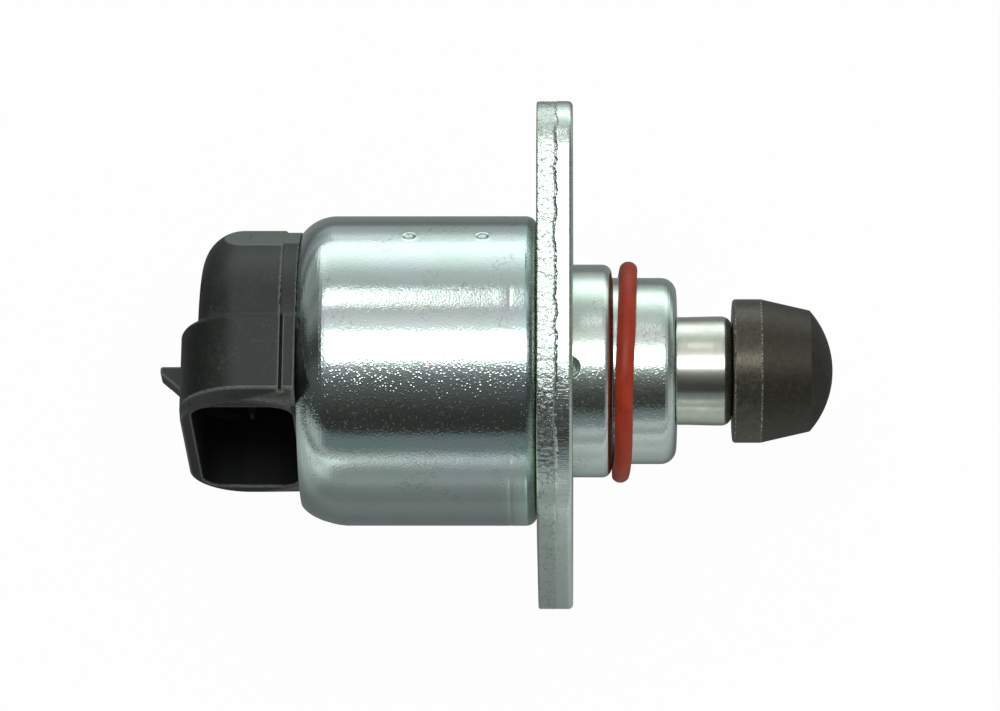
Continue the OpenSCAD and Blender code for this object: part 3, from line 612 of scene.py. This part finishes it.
def turned_metal(colour, rough, metallic=1.0, line_depth=0.0015, lines_per_mm=7.0, dull=None):
    """Machined metal with fine turning lines round its axis."""
    made, tree, shader = material(Metallic=metallic)
    where = place(tree)
    cloud = noise_of(tree, where, 0.6, detail=4, rough=0.6)
    tone = ramp(tree, cloud, [(0.35, dull or [c * 0.8 for c in colour]), (0.65, colour)])
    roughness = spread(tree, cloud, 0.3, 0.7, rough * 1.25, rough * 0.85)
    lines = noise_of(tree, place(tree, (lines_per_mm, 0.15, 0.15)), 1.0)
    grain = noise_of(tree, where, 4.0)
    normal = bump(tree, lines, line_depth, bump(tree, grain, 0.0015))
    return finished(made, shader, tone, roughness, normal)


def make_materials():
    """One material for each slot of the record."""
    tints = (0.65, 0.74, 0.69), (0.68, 0.76, 0.72), (0.7, 0.76, 0.745), (0.69, 0.75, 0.77)
    warm_tints = (0.67, 0.76, 0.68), (0.71, 0.78, 0.71), (0.73, 0.78, 0.725), (0.71, 0.77, 0.75)
    made = {
        "zinc_can": zinc(tints, ends=True),
        "zinc_flange": zinc(warm_tints, rough=0.16, torn=True),
        "zinc_nose": zinc(warm_tints, rough=0.17, peel=0.01, spots=0.02, lines=0.0012),
        "red_silicone": rubber((0.39, 0.035, 0.011), (0.29, 0.024, 0.008), 0.4),
        "black_plastic": connector_plastic(),
        "pintle_black": pintle_plastic(),
        "bright_sleeve": turned_metal((0.8, 0.8, 0.7), 0.2, dull=(0.66, 0.67, 0.58)),
        "steel": turned_metal((0.6, 0.6, 0.6), 0.3),
        "ball_steel": turned_metal((0.78, 0.78, 0.79), 0.08, line_depth=0.0001),
        "stator_steel": turned_metal((0.42, 0.43, 0.44), 0.42),
        "magnet": turned_metal((0.07, 0.07, 0.075), 0.62, metallic=0.3),
        "natural_plastic": plastic((0.68, 0.64, 0.52), (0.8, 0.77, 0.66), 0.4),
        "copper": turned_metal((0.8, 0.36, 0.17), 0.26, line_depth=0.012, lines_per_mm=4.0),
        "bronze": turned_metal((0.56, 0.38, 0.17), 0.38),
        "tinned_brass": turned_metal((0.4, 0.36, 0.28), 0.36),
        "black_rubber": rubber((0.03, 0.03, 0.03), (0.018, 0.018, 0.018), 0.6),
        "spring_steel": turned_metal((0.5, 0.5, 0.51), 0.28),
    }
    for name, item in made.items():
        item.name = name
    return made


def dress(piece, slot, body, *nodes):
    """Gives a piece its material, body and slot, and puts it in the place of CAD nodes."""
    piece.data.materials.append(MATERIALS[slot])
    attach(piece, body)
    if nodes:
        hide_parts(*nodes)
    return piece


# The metal pieces


def roll_arc(radius, steps=14):
    """The can's rear edge, rolled in on an arc, from the straight wall to the end."""
    roll_r = (ROLL_LEN**2 + ROLL_IN**2) / (2 * ROLL_IN)
    centre = (CAN_REAR + ROLL_LEN, CAN_R - roll_r)
    sweep = math.asin(ROLL_LEN / roll_r)
    r = roll_r - (CAN_R - radius)
    return [
        (centre[0] - r * math.sin(t), centre[1] + r * math.cos(t), 0) for t in np.linspace(0, sweep, steps)
    ]


def dent(x, r, a):
    """Presses the stake dents and a faint ring into the can, and makes its roll uneven."""
    outer = smooth_step((r - CAN_R + 0.4) / 0.3)
    for angle in (DENT_ANGLE, DENT_ANGLE + 180):
        for place_x in DENT_XS:
            reach = np.hypot(x - place_x, CAN_R * angle_between(a, angle))
            bowl = -DENT_DEPTH * (1 - smooth_step((reach - 0.3) / (DENT_R - 0.3)))
            lip = 0.02 * np.exp(-(((reach - DENT_R) / 0.2) ** 2))
            r = r + outer * (bowl + lip)
    below = np.clip(-np.cos(angle_between(a, UP_ANGLE)), 0, 1) ** 2
    start, end = SAG_XS
    r = r - SAG * below * smooth_step((start - x) / 2.2) * (1 - 0.5 * smooth_step((end - x) / 1.7))
    r = r - outer * 0.012 * np.exp(-(((x - FAINT_RING_X) / 0.18) ** 2))
    r = r + outer * 0.006 * np.exp(-(((x - FAINT_LIP_X) / 0.5) ** 2))
    return x, r


def motor_can():
    back, inner = -FLANGE_T, CAN_R - CAN_WALL
    corners = [(back, CAN_R, CAN_CORNER_R), *roll_arc(CAN_R), *reversed(roll_arc(inner))]
    corners += [
        (back - CAN_WALL, inner, CAN_CORNER_R - CAN_WALL),
        (back - CAN_WALL, COLLAR_R - NOSE_WALL, 0),
        (back, COLLAR_R - NOSE_WALL, 0),
    ]
    profile = refine(outline(corners, steps=10), step=0.9)
    near = [x + s for x in DENT_XS for s in np.arange(-1.3, 1.31, 0.12)]
    near += list(np.arange(-7.6, -5.7, 0.1))
    profile = denser(profile, CAN_R, -24, -5, near)
    dense = [(DENT_ANGLE, 5, 0.4), (DENT_ANGLE + 180, 5, 0.4)]
    return turned("can", profile, ring_angles(240, dense), dent)


def flange_edge(step):
    """Points along the flange's outline with their outward directions, in the ears' plane."""
    gap = MIDDLE_R - EAR_R
    upper, lower = math.acos(gap / UPPER_EAR), math.acos(gap / LOWER_EAR)
    arcs = [
        (UPPER_EAR, EAR_R, -upper, upper),
        (0.0, MIDDLE_R, upper, math.pi - lower),
        (-LOWER_EAR, EAR_R, math.pi - lower, math.pi + lower),
        (0.0, MIDDLE_R, math.pi + lower, 2 * math.pi - upper),
    ]
    points, normals = [], []
    for i, (centre, radius, start, end) in enumerate(arcs):
        count = int((end - start) * radius / step)
        turn = np.linspace(start, end, count)
        normal = np.stack([np.cos(turn), np.sin(turn)], axis=1)
        on_arc = normal * radius + (centre, 0)
        next_centre, next_radius = arcs[(i + 1) % 4][:2]
        goal = normal[-1] * next_radius + (next_centre, 0)
        count = int(np.linalg.norm(goal - on_arc[-1]) / step)
        share = np.linspace(0, 1, count + 1)[1:-1, None]
        points += [on_arc, on_arc[-1] + (goal - on_arc[-1]) * share]
        normals += [normal, np.repeat(normal[-1:], len(share), axis=0)]
    return np.vstack(points), np.vstack(normals)


def fractured(x, way, where):
    """How far the blanked edge stands off its outline: torn at the rear, sheared in front."""
    border = SHEAR_X + sum(
        size * noise.noise(Vector((way * pace, 7 * pace, 0))) for size, pace in BORDER_LAYERS
    )
    torn = 1 - smooth_step((x - border + 0.06) / 0.12)
    stretched = Vector((where.x * 0.7, where.y, where.z))
    crag = sum(size * noise.noise(stretched * pace) for size, pace in CRAG_LAYERS)
    uneven = 1 + 0.4 * noise.noise(Vector((way * 2, 1, 4)))
    lip = -0.11 * math.exp(-(((x - border) / 0.085) ** 2)) * uneven
    lines = 0.006 * noise.noise(Vector((way * 3.2, 0, x * 0.25)))
    height = where.y * PHOTO_UP[1] + where.z * PHOTO_UP[2]
    rough = 0.15 + 0.85 * smooth_step((height + 12) / 5)
    return rough * (torn * (crag - 0.04) + lip) + (1 - torn) * lines


def to_frame(x, s, t):
    """A point of the ears' plane, at x, in the valve's frame."""
    c, d = math.cos(math.radians(EAR_ANGLE)), math.sin(math.radians(EAR_ANGLE))
    return Vector((x, s * c - t * d, s * d + t * c))


def ring_of(centre, radius, count, x):
    turn = np.arange(count) * 2 * math.pi / count
    return [to_frame(x, centre + radius * math.cos(t), radius * math.sin(t)) for t in turn]


def join_rings(bm, rings):
    """Quads from each ring of points to the next. Returns the vertices of the rings."""
    made = [[bm.verts.new(p) for p in ring] for ring in rings]
    for a, b in zip(made, made[1:]):
        for i in range(len(a)):
            j = (i + 1) % len(a)
            bm.faces.new([a[i], a[j], b[j], b[i]])
    return made


def cap(bm, loops):
    """Fills the flat face between an outer loop of vertices and its holes."""
    edges = []
    for loop in loops:
        for i in range(len(loop)):
            pair = (loop[i], loop[(i + 1) % len(loop)])
            edges.append(bm.edges.get(pair) or bm.edges.new(pair))
    bmesh.ops.triangle_fill(bm, use_beauty=True, use_dissolve=False, edges=edges)


def flange_section():
    """The flange's edge as (x, inset) points, with its front and rear corners rounded."""
    back = -FLANGE_T
    section = [(back, REAR_EDGE_R + 0.1)]
    for t in np.linspace(0, math.pi / 2, 5):
        section.append((back + REAR_EDGE_R * (1 - math.cos(t)), REAR_EDGE_R * (1 - math.sin(t))))
    section += [(x, 0.0) for x in np.linspace(back + REAR_EDGE_R, -FRONT_EDGE_R, 31)[1:-1]]
    for t in np.linspace(0, math.pi / 2, 8):
        section.append((-FRONT_EDGE_R * (1 - math.sin(t)), FRONT_EDGE_R * (1 - math.cos(t))))
    return [*section, (0.0, FRONT_EDGE_R + 0.1)]


def hole_section(soft=0.12):
    """A bolt hole's wall as (x, radius) points, with softened edges."""
    back, r = -FLANGE_T, HOLE_R
    return [
        (back, r + 2 * soft),
        (back, r + soft),
        (back + soft * 0.3, r + soft * 0.3),
        (back + soft, r),
        (-2 * soft, r),
        (-soft * 0.6, r + soft * 0.6),
        (0, r + 2 * soft),
        (0, r + 3 * soft),
    ]


def bore_section():
    """The wall of the bore that holds the nose and its rim, with a bevel in front."""
    back, bore = -FLANGE_T, COLLAR_R + 0.05
    return [
        (back, RIM_POCKET_R + 0.06),
        (back, RIM_POCKET_R),
        (back + RIM_POCKET_T, RIM_POCKET_R),
        (back + RIM_POCKET_T, bore),
        (-0.55, bore),
        (0, bore + 0.55),
        (0, bore + 0.61),
    ]


def mounting_flange():
    points, normals = flange_edge(0.1)
    ways = np.concatenate([[0], np.cumsum(np.linalg.norm(np.diff(points, axis=0), axis=1))])
    bm = bmesh.new()
    rings = []
    for x, inset in flange_section():
        ring = []
        for p, n, way in zip(points, normals, ways):
            rough = 0.0
            if inset < REAR_EDGE_R:
                rough = fractured(x, way, to_frame(x, *p)) * (1 - inset / REAR_EDGE_R)
            offset = min(rough, 0.0) - inset
            ring.append(to_frame(x, *(p + n * offset)))
        rings.append(ring)
    made = join_rings(bm, rings)
    rear_loops, front_loops = [made[0]], [made[-1]]
    for centre, walls, count in (
        (UPPER_EAR - 1e-9, hole_section(), 96),
        (-LOWER_EAR, hole_section(), 96),
        (0, bore_section(), 240),
    ):
        made = join_rings(bm, [ring_of(centre, radius, count, x) for x, radius in walls])
        rear_loops.append(made[0])
        front_loops.append(made[-1])
    cap(bm, rear_loops)
    cap(bm, front_loops)
    return finish_mesh(bm, "flange", sharp=32)


def stake(x, r, a):
    """Stamps the stake marks into the nose's collar, next to the flange."""
    radius = (STAKE_W**2 / 4 + STAKE_LEN**2) / (2 * STAKE_LEN)
    on_collar = smooth_step((r - SEAT_R - 0.3) / 0.3) * smooth_step((x + 0.6) / 0.3)
    for angle in STAKE_ANGLES:
        reach = np.hypot(x - STAKE_LEN + radius, COLLAR_R * angle_between(a, angle))
        pressed = 1 - smooth_step((reach - radius + 0.15) / 0.22)
        r = r - on_collar * pressed * STAKE_DEPTH * (1 - 0.45 * np.clip(x / STAKE_LEN, 0, 1))
    return x, r


def nose_housing():
    back = -FLANGE_T
    rim_r = RIM_POCKET_R - 0.05
    corners = [
        (back, rim_r, 0.1),
        (back + RIM_POCKET_T, rim_r, 0.1),
        (back + RIM_POCKET_T, COLLAR_R, 0),
        (COLLAR_LEN, COLLAR_R, COLLAR_CORNER),
        (COLLAR_LEN, SEAT_R, 0.15),
        (NOSE_LEN, SEAT_R, NOSE_CORNER),
        (NOSE_LEN, CUP_R + 0.25, 0.18),
        (NOSE_LEN - NOSE_WALL, CUP_R + 0.25, 0),
        (NOSE_LEN - NOSE_WALL, SEAT_R - NOSE_WALL, 0.2),
        (COLLAR_LEN - NOSE_WALL, SEAT_R - NOSE_WALL, 0),
        (COLLAR_LEN - NOSE_WALL, COLLAR_R - NOSE_WALL, 0.2),
        (back, COLLAR_R - NOSE_WALL, 0),
    ]
    profile = refine(outline(corners, steps=9), step=0.6)
    profile = denser(profile, COLLAR_R, back + RIM_POCKET_T - 0.01, COLLAR_LEN, np.arange(-0.5, 1.5, 0.07))
    dense = [(angle % 360, 8, 0.35) for angle in STAKE_ANGLES]
    return turned("nose", profile, ring_angles(220, dense), stake)


def o_ring():
    """The ring lies a little askew on its seat, and isn't quite flat or even."""
    turns, section = np.radians(np.arange(0, 360, 1.25)), np.radians(np.arange(0, 360, 10))
    around, across = np.meshgrid(turns, section, indexing="ij")
    lean = math.tan(math.radians(RING_LEAN))
    main = angle_between(around, UP_ANGLE)
    wave = 0.06 * np.sin(3 * main + 0.6) + 0.035 * np.sin(5 * main + 2)
    middle = RING_R + 0.015 * np.sin(4 * main) + 0.06 - 0.12 * np.cos(main)
    x = RING_X + lean * middle * np.cos(main) + wave + RING_HALF_X * np.sin(across)
    r = middle + RING_HALF_R * np.cos(across)
    x = np.maximum(x, COLLAR_LEN + 0.02)
    bm = bmesh.new()
    grid_faces(bm, about_axis(x, r, around))
    return finish_mesh(bm, "ring", sharp=80)


def spring_cup():
    front, slim = PINTLE_REAR - 0.05, CUP_R - 0.1
    corners = [
        (CUP_REAR, slim, 0.12),
        (CUP_SWELL_XS[0], slim + 0.02, 3.0),
        (CUP_SWELL_XS[1], CUP_R - 0.01, 3.0),
        (front, CUP_R, CUP_CORNER),
        (front, SCREW_HOLE_R, 0),
        (front - CUP_WALL, SCREW_HOLE_R, 0),
        (front - CUP_WALL, slim - CUP_WALL, 0.3),
        (CUP_REAR, slim - CUP_WALL, 0.1),
    ]
    return turned("cup", refine(outline(corners, steps=8), step=0.5), ring_angles(160))


def pintle():
    """A straight band and a cone that runs into a dome where the two meet."""
    slope = math.tan(math.radians(PINTLE_CONE))
    band = PINTLE_REAR + PINTLE_BAND
    centre = PINTLE_TIP - PINTLE_DOME_R

    def beyond(x):
        return math.hypot(x - centre, PINTLE_R - (x - band) * slope) - PINTLE_DOME_R

    low, high = band, PINTLE_TIP
    for _ in range(50):
        middle = (low + high) / 2
        low, high = (middle, high) if beyond(middle) < 0 else (low, middle)
    edge_r = PINTLE_R - (low - band) * slope
    start = math.asin(edge_r / PINTLE_DOME_R) * 0.985
    corners = [
        (PINTLE_REAR, SCREW_HOLE_R, 0),
        (PINTLE_REAR, PINTLE_R, 0.3),
        (band, PINTLE_R, 0.3),
        (low, edge_r, 0.12),
    ]
    for t in np.linspace(start, 0.0, 26):
        corners.append((centre + PINTLE_DOME_R * math.cos(t), PINTLE_DOME_R * math.sin(t), 0))
    corners += [(PINTLE_TIP - 5, 0, 0), (SCREW_HOLE_END, 0, 0), (SCREW_HOLE_END, SCREW_HOLE_R, 0)]
    profile = refine(outline(corners, steps=6), step=0.5)
    return turned("pintle", profile, ring_angles(200))


def spring():
    """The coil spring, with its coils closed at both ends."""
    low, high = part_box("pintle_spring")
    wire, turns, per_turn, sides = 0.32, 7, 40, 14
    x0, x1 = low.x / MM + wire, high.x / MM - wire
    t = np.linspace(0, 1, turns * per_turn + 1)
    closed = 0.09
    climb = np.clip((t - closed) / (1 - 2 * closed), 0, 1)
    dead = np.clip(t / closed, 0, 1) * 0.055 + np.clip((t - 1 + closed) / closed, 0, 1) * 0.055
    x = x0 + (x1 - x0) * (climb * 0.89 + dead)
    angle = 2 * math.pi * turns * t
    coil_r = (high.y - low.y) / 2 / MM - wire
    turn, side = np.meshgrid(angle, np.arange(sides) * 2 * math.pi / sides, indexing="ij")
    r = coil_r + wire * np.cos(side)
    bm = bmesh.new()
    verts = grid_faces(bm, about_axis(x[:, None] + wire * np.sin(side), r, turn), wrap_rows=False)
    bm.faces.new(verts[:sides])
    bm.faces.new(verts[-sides:])
    return finish_mesh(bm, "spring", sharp=50)


# The connector, as a solid field: below zero inside, with its edges rounded


def both(a, b, bend):
    """What lies in a and in b, with the edge between them rounded."""
    return np.minimum(np.maximum(a, b), -bend) + np.hypot(np.maximum(a + bend, 0), np.maximum(b + bend, 0))


def either(a, b, bend):
    """What lies in a or in b, with the corner between them filled by a fillet."""
    return np.maximum(np.minimum(a, b), bend) - np.hypot(np.maximum(bend - a, 0), np.maximum(bend - b, 0))


def block(u, v, half_u, half_v, bend):
    """A rectangle with round corners, about its own middle."""
    du, dv = np.abs(u) - half_u + bend, np.abs(v) - half_v + bend
    return np.minimum(np.maximum(du, dv), 0) + np.hypot(np.maximum(du, 0), np.maximum(dv, 0)) - bend


def round_body(x, y, z):
    """The half of a round body away from the mouth, with a land, and its neck in the can."""
    radius = np.hypot(y, z)
    turn = math.radians(LAND_ANGLE)
    body = both(both(radius - BODY_R, BODY_REAR - x, BODY_EDGE_R), x - SEAM_X + NECK_LEN, 0.12)
    land = y * math.cos(turn) + z * math.sin(turn) - LAND_REACH
    body = both(body, np.where(x < SEAM_X - NECK_LEN, land, land - 1), 0.03)
    neck = np.maximum(radius - NECK_R, np.maximum(x - SEAM_X, BODY_REAR + 5 - x))
    return np.maximum(np.minimum(body, neck), -1 - y)


def socket_block(x, y, z):
    """The block around the socket, which draws in from its flats to its mouth."""
    t = np.clip((FLAT_END - y) / (FLAT_END - MOUTH_Y), 0, 1)
    front = (1 - t) * (CAN_REAR + BLOCK_CORNER_R) + t * (CAN_REAR - 0.1)
    middle, half = (SOCKET_REAR + front) / 2, (front - SOCKET_REAR) / 2
    bend = BLOCK_CORNER_R + t * (RIM_CORNER_R - BLOCK_CORNER_R)
    plan = block(x - middle, z, half, FLAT_R - RIM_IN * t, bend)
    mantle = both(both(plan, MOUTH_Y - y, 0.2), y - BLOCK_TOP, BLOCK_EDGE_R)
    return np.maximum(mantle, x - SEAM_X)


def grooves(x, y, z):
    groove = np.maximum(np.abs(x - GROOVE_X) - GROOVE_W / 2, FLAT_R - GROOVE_DEPTH - np.abs(z))
    return np.maximum(groove, y - BLOCK_TOP - 1)


def latch_ramp(x, y, z):
    """The ramp on the rear face, which a plug's latch hooks over."""
    rise, run = LATCH_FOOT - LATCH_TOP, SOCKET_REAR - LATCH_TIP
    slope = ((LATCH_TIP - x) * rise + (LATCH_Y - LATCH_TOP - y) * run) / math.hypot(rise, run)
    latch = both(both(np.abs(z) - LATCH_W / 2, LATCH_TIP - x, 0.12), slope, 0.12)
    return np.maximum(both(latch, y - LATCH_Y, 0.1), x - SOCKET_REAR - 0.5)


def connector_field(x, y, z):
    """The connector. Its socket is shallow behind the round body and deep within it."""
    solid = either(round_body(x, y, z), socket_block(x, y, z), 0.25)
    solid = np.maximum(solid, -grooves(x, y, z))
    solid = either(solid, latch_ramp(x, y, z), 0.12)
    for rear, end in (
        (SOCKET_REAR + SOCKET_WALL, BLOCK_TOP - STEP_WALL),
        (BODY_REAR + SOCKET_WALL, CAVITY_DEPTH),
    ):
        middle, half = (rear + CAVITY_FRONT) / 2, (CAVITY_FRONT - rear) / 2
        hole = block(x - middle, z, half, CAVITY_HALF_W, CAVITY_CORNER)
        solid = both(solid, -both(hole, y - end, 0.3), 0.2)
    radius = np.hypot(y, z)
    disc = both(radius - DISC_R, np.abs(x - DISC_X) - DISC_T / 2, 0.02)
    stem = both(radius - STEM_R, np.abs(x - STEM_X) - STEM_LEN / 2, 0.02)
    pocket = np.maximum(radius - POCKET_R, POCKET_REAR - x)
    return np.maximum(np.minimum(solid, np.minimum(disc, stem)), -pocket)


def net_points(values):
    """A point in each grid cell that the surface crosses, counted in cells, and their numbers."""
    shape = tuple(n - 1 for n in values.shape)
    total, count = np.zeros((*shape, 3)), np.zeros(shape)

    def corner(offset):
        return values[tuple(slice(start, start + n) for start, n in zip(offset, shape))]

    for axis, step in enumerate(np.eye(3, dtype=int)):
        for offset in np.ndindex(2, 2, 2):
            if offset[axis] == 0:
                a, b = corner(offset), corner(offset + step)
                crossed = (a < 0) != (b < 0)
                total[..., axis] += np.where(crossed, a / np.where(crossed, a - b, 1), 0)
                total += crossed[..., None] * offset
                count += crossed
    active = count > 0
    index = np.full(shape, -1)
    index[active] = np.arange(active.sum())
    return np.argwhere(active) + total[active] / count[active][:, None], index


def net_quads(values, index):
    """A quad across each grid edge that the surface crosses, facing outwards."""
    inside = values < 0
    quads = []
    for axis in range(3):
        where = np.argwhere(np.diff(inside, axis=axis))
        falling = inside[tuple(where.T)]
        around = []
        for du, dv in ((-1, -1), (0, -1), (0, 0), (-1, 0)):
            offset = np.zeros(3, int)
            offset[(axis + 1) % 3], offset[(axis + 2) % 3] = du, dv
            around.append(index[tuple((where + offset).T)])
        around = np.stack(around, axis=1)
        quads.append(np.where(falling[:, None], around, around[:, ::-1]))
    return np.vstack(quads)


def slope_of(field, points, reach=0.01):
    rises = [field(*(points + step).T) - field(*(points - step).T) for step in np.eye(3) * reach]
    return np.stack(rises, axis=1) / (2 * reach)


def edge_measure(field, points, slope):
    """How much the surface bends near each point: above zero on edges, below it in hollows."""
    steps = np.eye(3) * EDGE_REACH
    near = sum(field(*(points + step).T) + field(*(points - step).T) for step in steps)
    return (near - 6 * field(*points.T)) / EDGE_REACH / np.maximum(np.linalg.norm(slope, axis=1), 1)


def skin(name, field, low, high, cell):
    """The zero surface of a field as a mesh, by surface nets whose points are pulled onto it."""
    axes = [np.arange(a, b + cell, cell) for a, b in zip(low, high)]
    values = field(*np.meshgrid(*axes, indexing="ij"))
    points, index = net_points(values)
    points = points * cell + np.array(low)
    for _ in range(3):
        here, slope = field(*points.T), slope_of(field, points)
        move = here[:, None] * slope / np.maximum((slope**2).sum(1), 0.2)[:, None]
        length = np.linalg.norm(move, axis=1, keepdims=True)
        points -= move * np.minimum(1, cell * 0.5 / np.maximum(length, 1e-9))
    mesh = bpy.data.meshes.new(name)
    mesh.from_pydata((points * MM).tolist(), [], net_quads(values, index).tolist())
    mesh.shade_smooth()
    mesh.set_sharp_from_angle(angle=math.radians(50))
    edge = edge_measure(field, points, slope).astype(np.float32)
    mesh.attributes.new("edge", "FLOAT", "POINT").data.foreach_set("value", edge)
    return put(name, mesh)


# The studio


def softbox(name, angle, spread_angle, ends, radiance, colour):
    """An area lamp along the valve's axis. Its angle is from the camera, over the valve."""
    tilt = math.radians(CAMERA_ELEVATION + angle)
    away = Vector((0, -math.cos(tilt), math.sin(tilt)))
    lamp = bpy.data.lights.new(name, "AREA")
    lamp.shape = "RECTANGLE"
    lamp.size = ends[1] - ends[0]
    lamp.size_y = 2 * LAMP_DISTANCE * math.tan(math.radians(spread_angle) / 2)
    lamp.energy = radiance * math.pi * lamp.size * lamp.size_y
    lamp.color = colour
    side = Vector((1, 0, 0))
    basis = Matrix((side, away.cross(side), away)).transposed().to_4x4()
    put(name, lamp).matrix_world = Matrix.Translation(away * LAMP_DISTANCE + side * sum(ends) / 2) @ basis


def mirrored(tree):
    """One for the rays that a glossy or clear surface sends on, and zero for the others."""
    path = add(tree, "LightPath").outputs
    return math_node(tree, "MAXIMUM", path["Is Glossy Ray"], path["Is Transmission Ray"])


def mix_shader(tree, share, a, b):
    return add(tree, "MixShader", {0: share, 1: a, 2: b}).outputs[0]


def glow(tree, kind, colour, strength):
    return add(tree, kind, {"Color": colour, "Strength": strength}).outputs[0]


def make_world():
    """White to the camera, soft grey to matt surfaces, and a room of bands to glossy ones."""
    world = bpy.data.worlds.new("studio")
    bpy.context.scene.world = world
    world.use_nodes = True
    tree = world.node_tree
    tree.nodes.clear()
    direction = add(tree, "SeparateXYZ", {0: add(tree, "TexCoord").outputs["Generated"]}).outputs
    angle = math_node(tree, "ARCTAN2", direction["Y"], direction["Z"])
    share = spread(tree, angle, -math.pi / 2, math.pi / 2)

    def bands(levels):
        return ramp(tree, share, [((degrees + 90) / 180, level) for degrees, level in levels])

    sideways = direction["X"]
    room = bands(ROOM_BANDS)
    for side, low, high in (
        (bands(REAR_BANDS), -0.36, -0.5),
        (bands(FRONT_BANDS), 0.42, 0.74),
        (FAR_REAR, -0.86, -0.93),
    ):
        room = mix(tree, spread(tree, sideways, low, high), room, side)
    room = mix(tree, 1.0, room, COOL, "MULTIPLY")
    soft = glow(tree, "Background", WHITE, spread(tree, sideways, -0.9, -0.1, 0.2, 0.63))
    seen = mix_shader(tree, mirrored(tree), soft, glow(tree, "Background", room, 1.0))
    to_camera = add(tree, "LightPath").outputs["Is Camera Ray"]
    seen = mix_shader(tree, to_camera, seen, glow(tree, "Background", WHITE, 1.0))
    add(tree, "OutputWorld", {"Surface": seen})


def floor_glow(tree):
    """What the metal mirrors of the floor: bands, paler past the connector and at the nose."""
    position = add(tree, "SeparateXYZ", {0: place(tree)}).outputs
    x, y = position["X"], position["Y"]
    stops = [((at + FLOOR_REACH) / (2 * FLOOR_REACH), level) for at, level in FLOOR_BANDS]
    colour = ramp(tree, spread(tree, y, -FLOOR_REACH, FLOOR_REACH), stops)
    past = product(tree, spread(tree, x, -40, -70), spread(tree, y, 20, -10, -0.4, 1.25))
    ahead = math_node(tree, "ADD", spread(tree, x, -7, -5, 0.0, 0.5), spread(tree, x, -1, 1, 0.0, 0.6))
    ahead = product(tree, ahead, spread(tree, y, -8, -18), spread(tree, y, -105, -80))
    level = math_node(tree, "ADD", math_node(tree, "ADD", past, ahead), 1.0)
    level = product(tree, level, spread(tree, x, -160, -230, 1.0, 0.2))
    return glow(tree, "Emission", mix(tree, 1.0, colour, COOL, "MULTIPLY"), level)


def make_floor(height):
    """A pale floor that is white to the camera, apart from the valve's shadow."""
    half = STAGE_SIZE / 2
    corners = [(x * half, y * half, height) for x, y in ((-1, -1), (1, -1), (1, 1), (-1, 1))]
    mesh = bpy.data.meshes.new("floor")
    mesh.from_pydata(corners, [], [(0, 1, 2, 3)])
    made, tree, shader = material(Roughness=0.9, Base_Color=(0.8, 0.8, 0.8))
    made.name = "floor"
    mesh.materials.append(made)
    to_camera = product(tree, add(tree, "LightPath").outputs["Is Camera Ray"], 0.975)
    seen = mix_shader(tree, to_camera, shader.outputs[0], glow(tree, "Emission", WHITE, 1.0))
    seen = mix_shader(tree, mirrored(tree), seen, floor_glow(tree))
    tree.links.new(seen, tree.nodes["Material Output"].inputs["Surface"])
    put("floor", mesh)


def make_camera():
    """The photograph's viewpoint: square to the valve's axis, high over the socket's mouth."""
    tilt = math.radians(CAMERA_ELEVATION)
    towards = Vector((0, -math.cos(tilt), math.sin(tilt)))
    up = Vector((0, math.sin(tilt), math.cos(tilt)))
    middle_x = (PHOTO_W / 2 - MOUNT_COLUMN) * MM_PER_PIXEL
    middle_up = (AXIS_ROW - PHOTO_H / 2) * MM_PER_PIXEL
    target = Vector((middle_x, 0, 0)) + up * middle_up
    eye = Vector((CAMERA_X, 0, 0)) + up * middle_up + towards * CAMERA_DISTANCE
    camera = bpy.data.cameras.new("camera")
    camera.sensor_width = 36.0
    camera.lens = camera.sensor_width * (eye - target).length / (PHOTO_W * MM_PER_PIXEL)
    camera.clip_start, camera.clip_end = 0.01, 20.0
    forward = (target - eye).normalized()
    right = forward.cross(up).normalized()
    basis = Matrix((right, right.cross(forward), -forward)).transposed().to_4x4()
    piece = put("camera", camera)
    piece.matrix_world = Matrix.Translation(eye * MM) @ basis
    bpy.context.scene.camera = piece


for item in list(bpy.data.objects):
    bpy.data.objects.remove(item)
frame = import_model()
cad_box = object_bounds()
MATERIALS = make_materials()
slots = {part["node"]: part["material_slot"] for part in frame["record"]["subparts"]}
for node_name, node_object in frame["nodes"].items():
    node_object.data.materials.clear()
    node_object.data.materials.append(MATERIALS[slots[node_name]])

dress(motor_can(), "zinc_can", "housing", "motor_can")
dress(mounting_flange(), "zinc_flange", "housing", "mounting_flange")
dress(nose_housing(), "zinc_nose", "housing", "nose_housing")
dress(o_ring(), "red_silicone", "housing", "nose_o_ring")
dress(spring_cup(), "bright_sleeve", "pintle", "spring_cup")
dress(pintle(), "pintle_black", "pintle", "pintle_head")
connector = skin("connector", connector_field, SKIN_LOW, SKIN_HIGH, SKIN_CELL)
dress(connector, "black_plastic", "housing", "connector_housing")
coil = spring()
coil.data.materials.append(MATERIALS["spring_steel"])
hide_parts("pintle_spring")
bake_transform(coil)

make_camera()
softbox("key", 17.8, 20, (-0.3, 0.3), 3.2, (0.93, 1, 0.99))
softbox("strip", 55.9, 13.2, (-0.3, -0.03), 1.75, (0.97, 1, 0.98))
make_world()
make_floor(cad_box[0].z)
bpy.context.scene.view_settings.view_transform = "Standard"
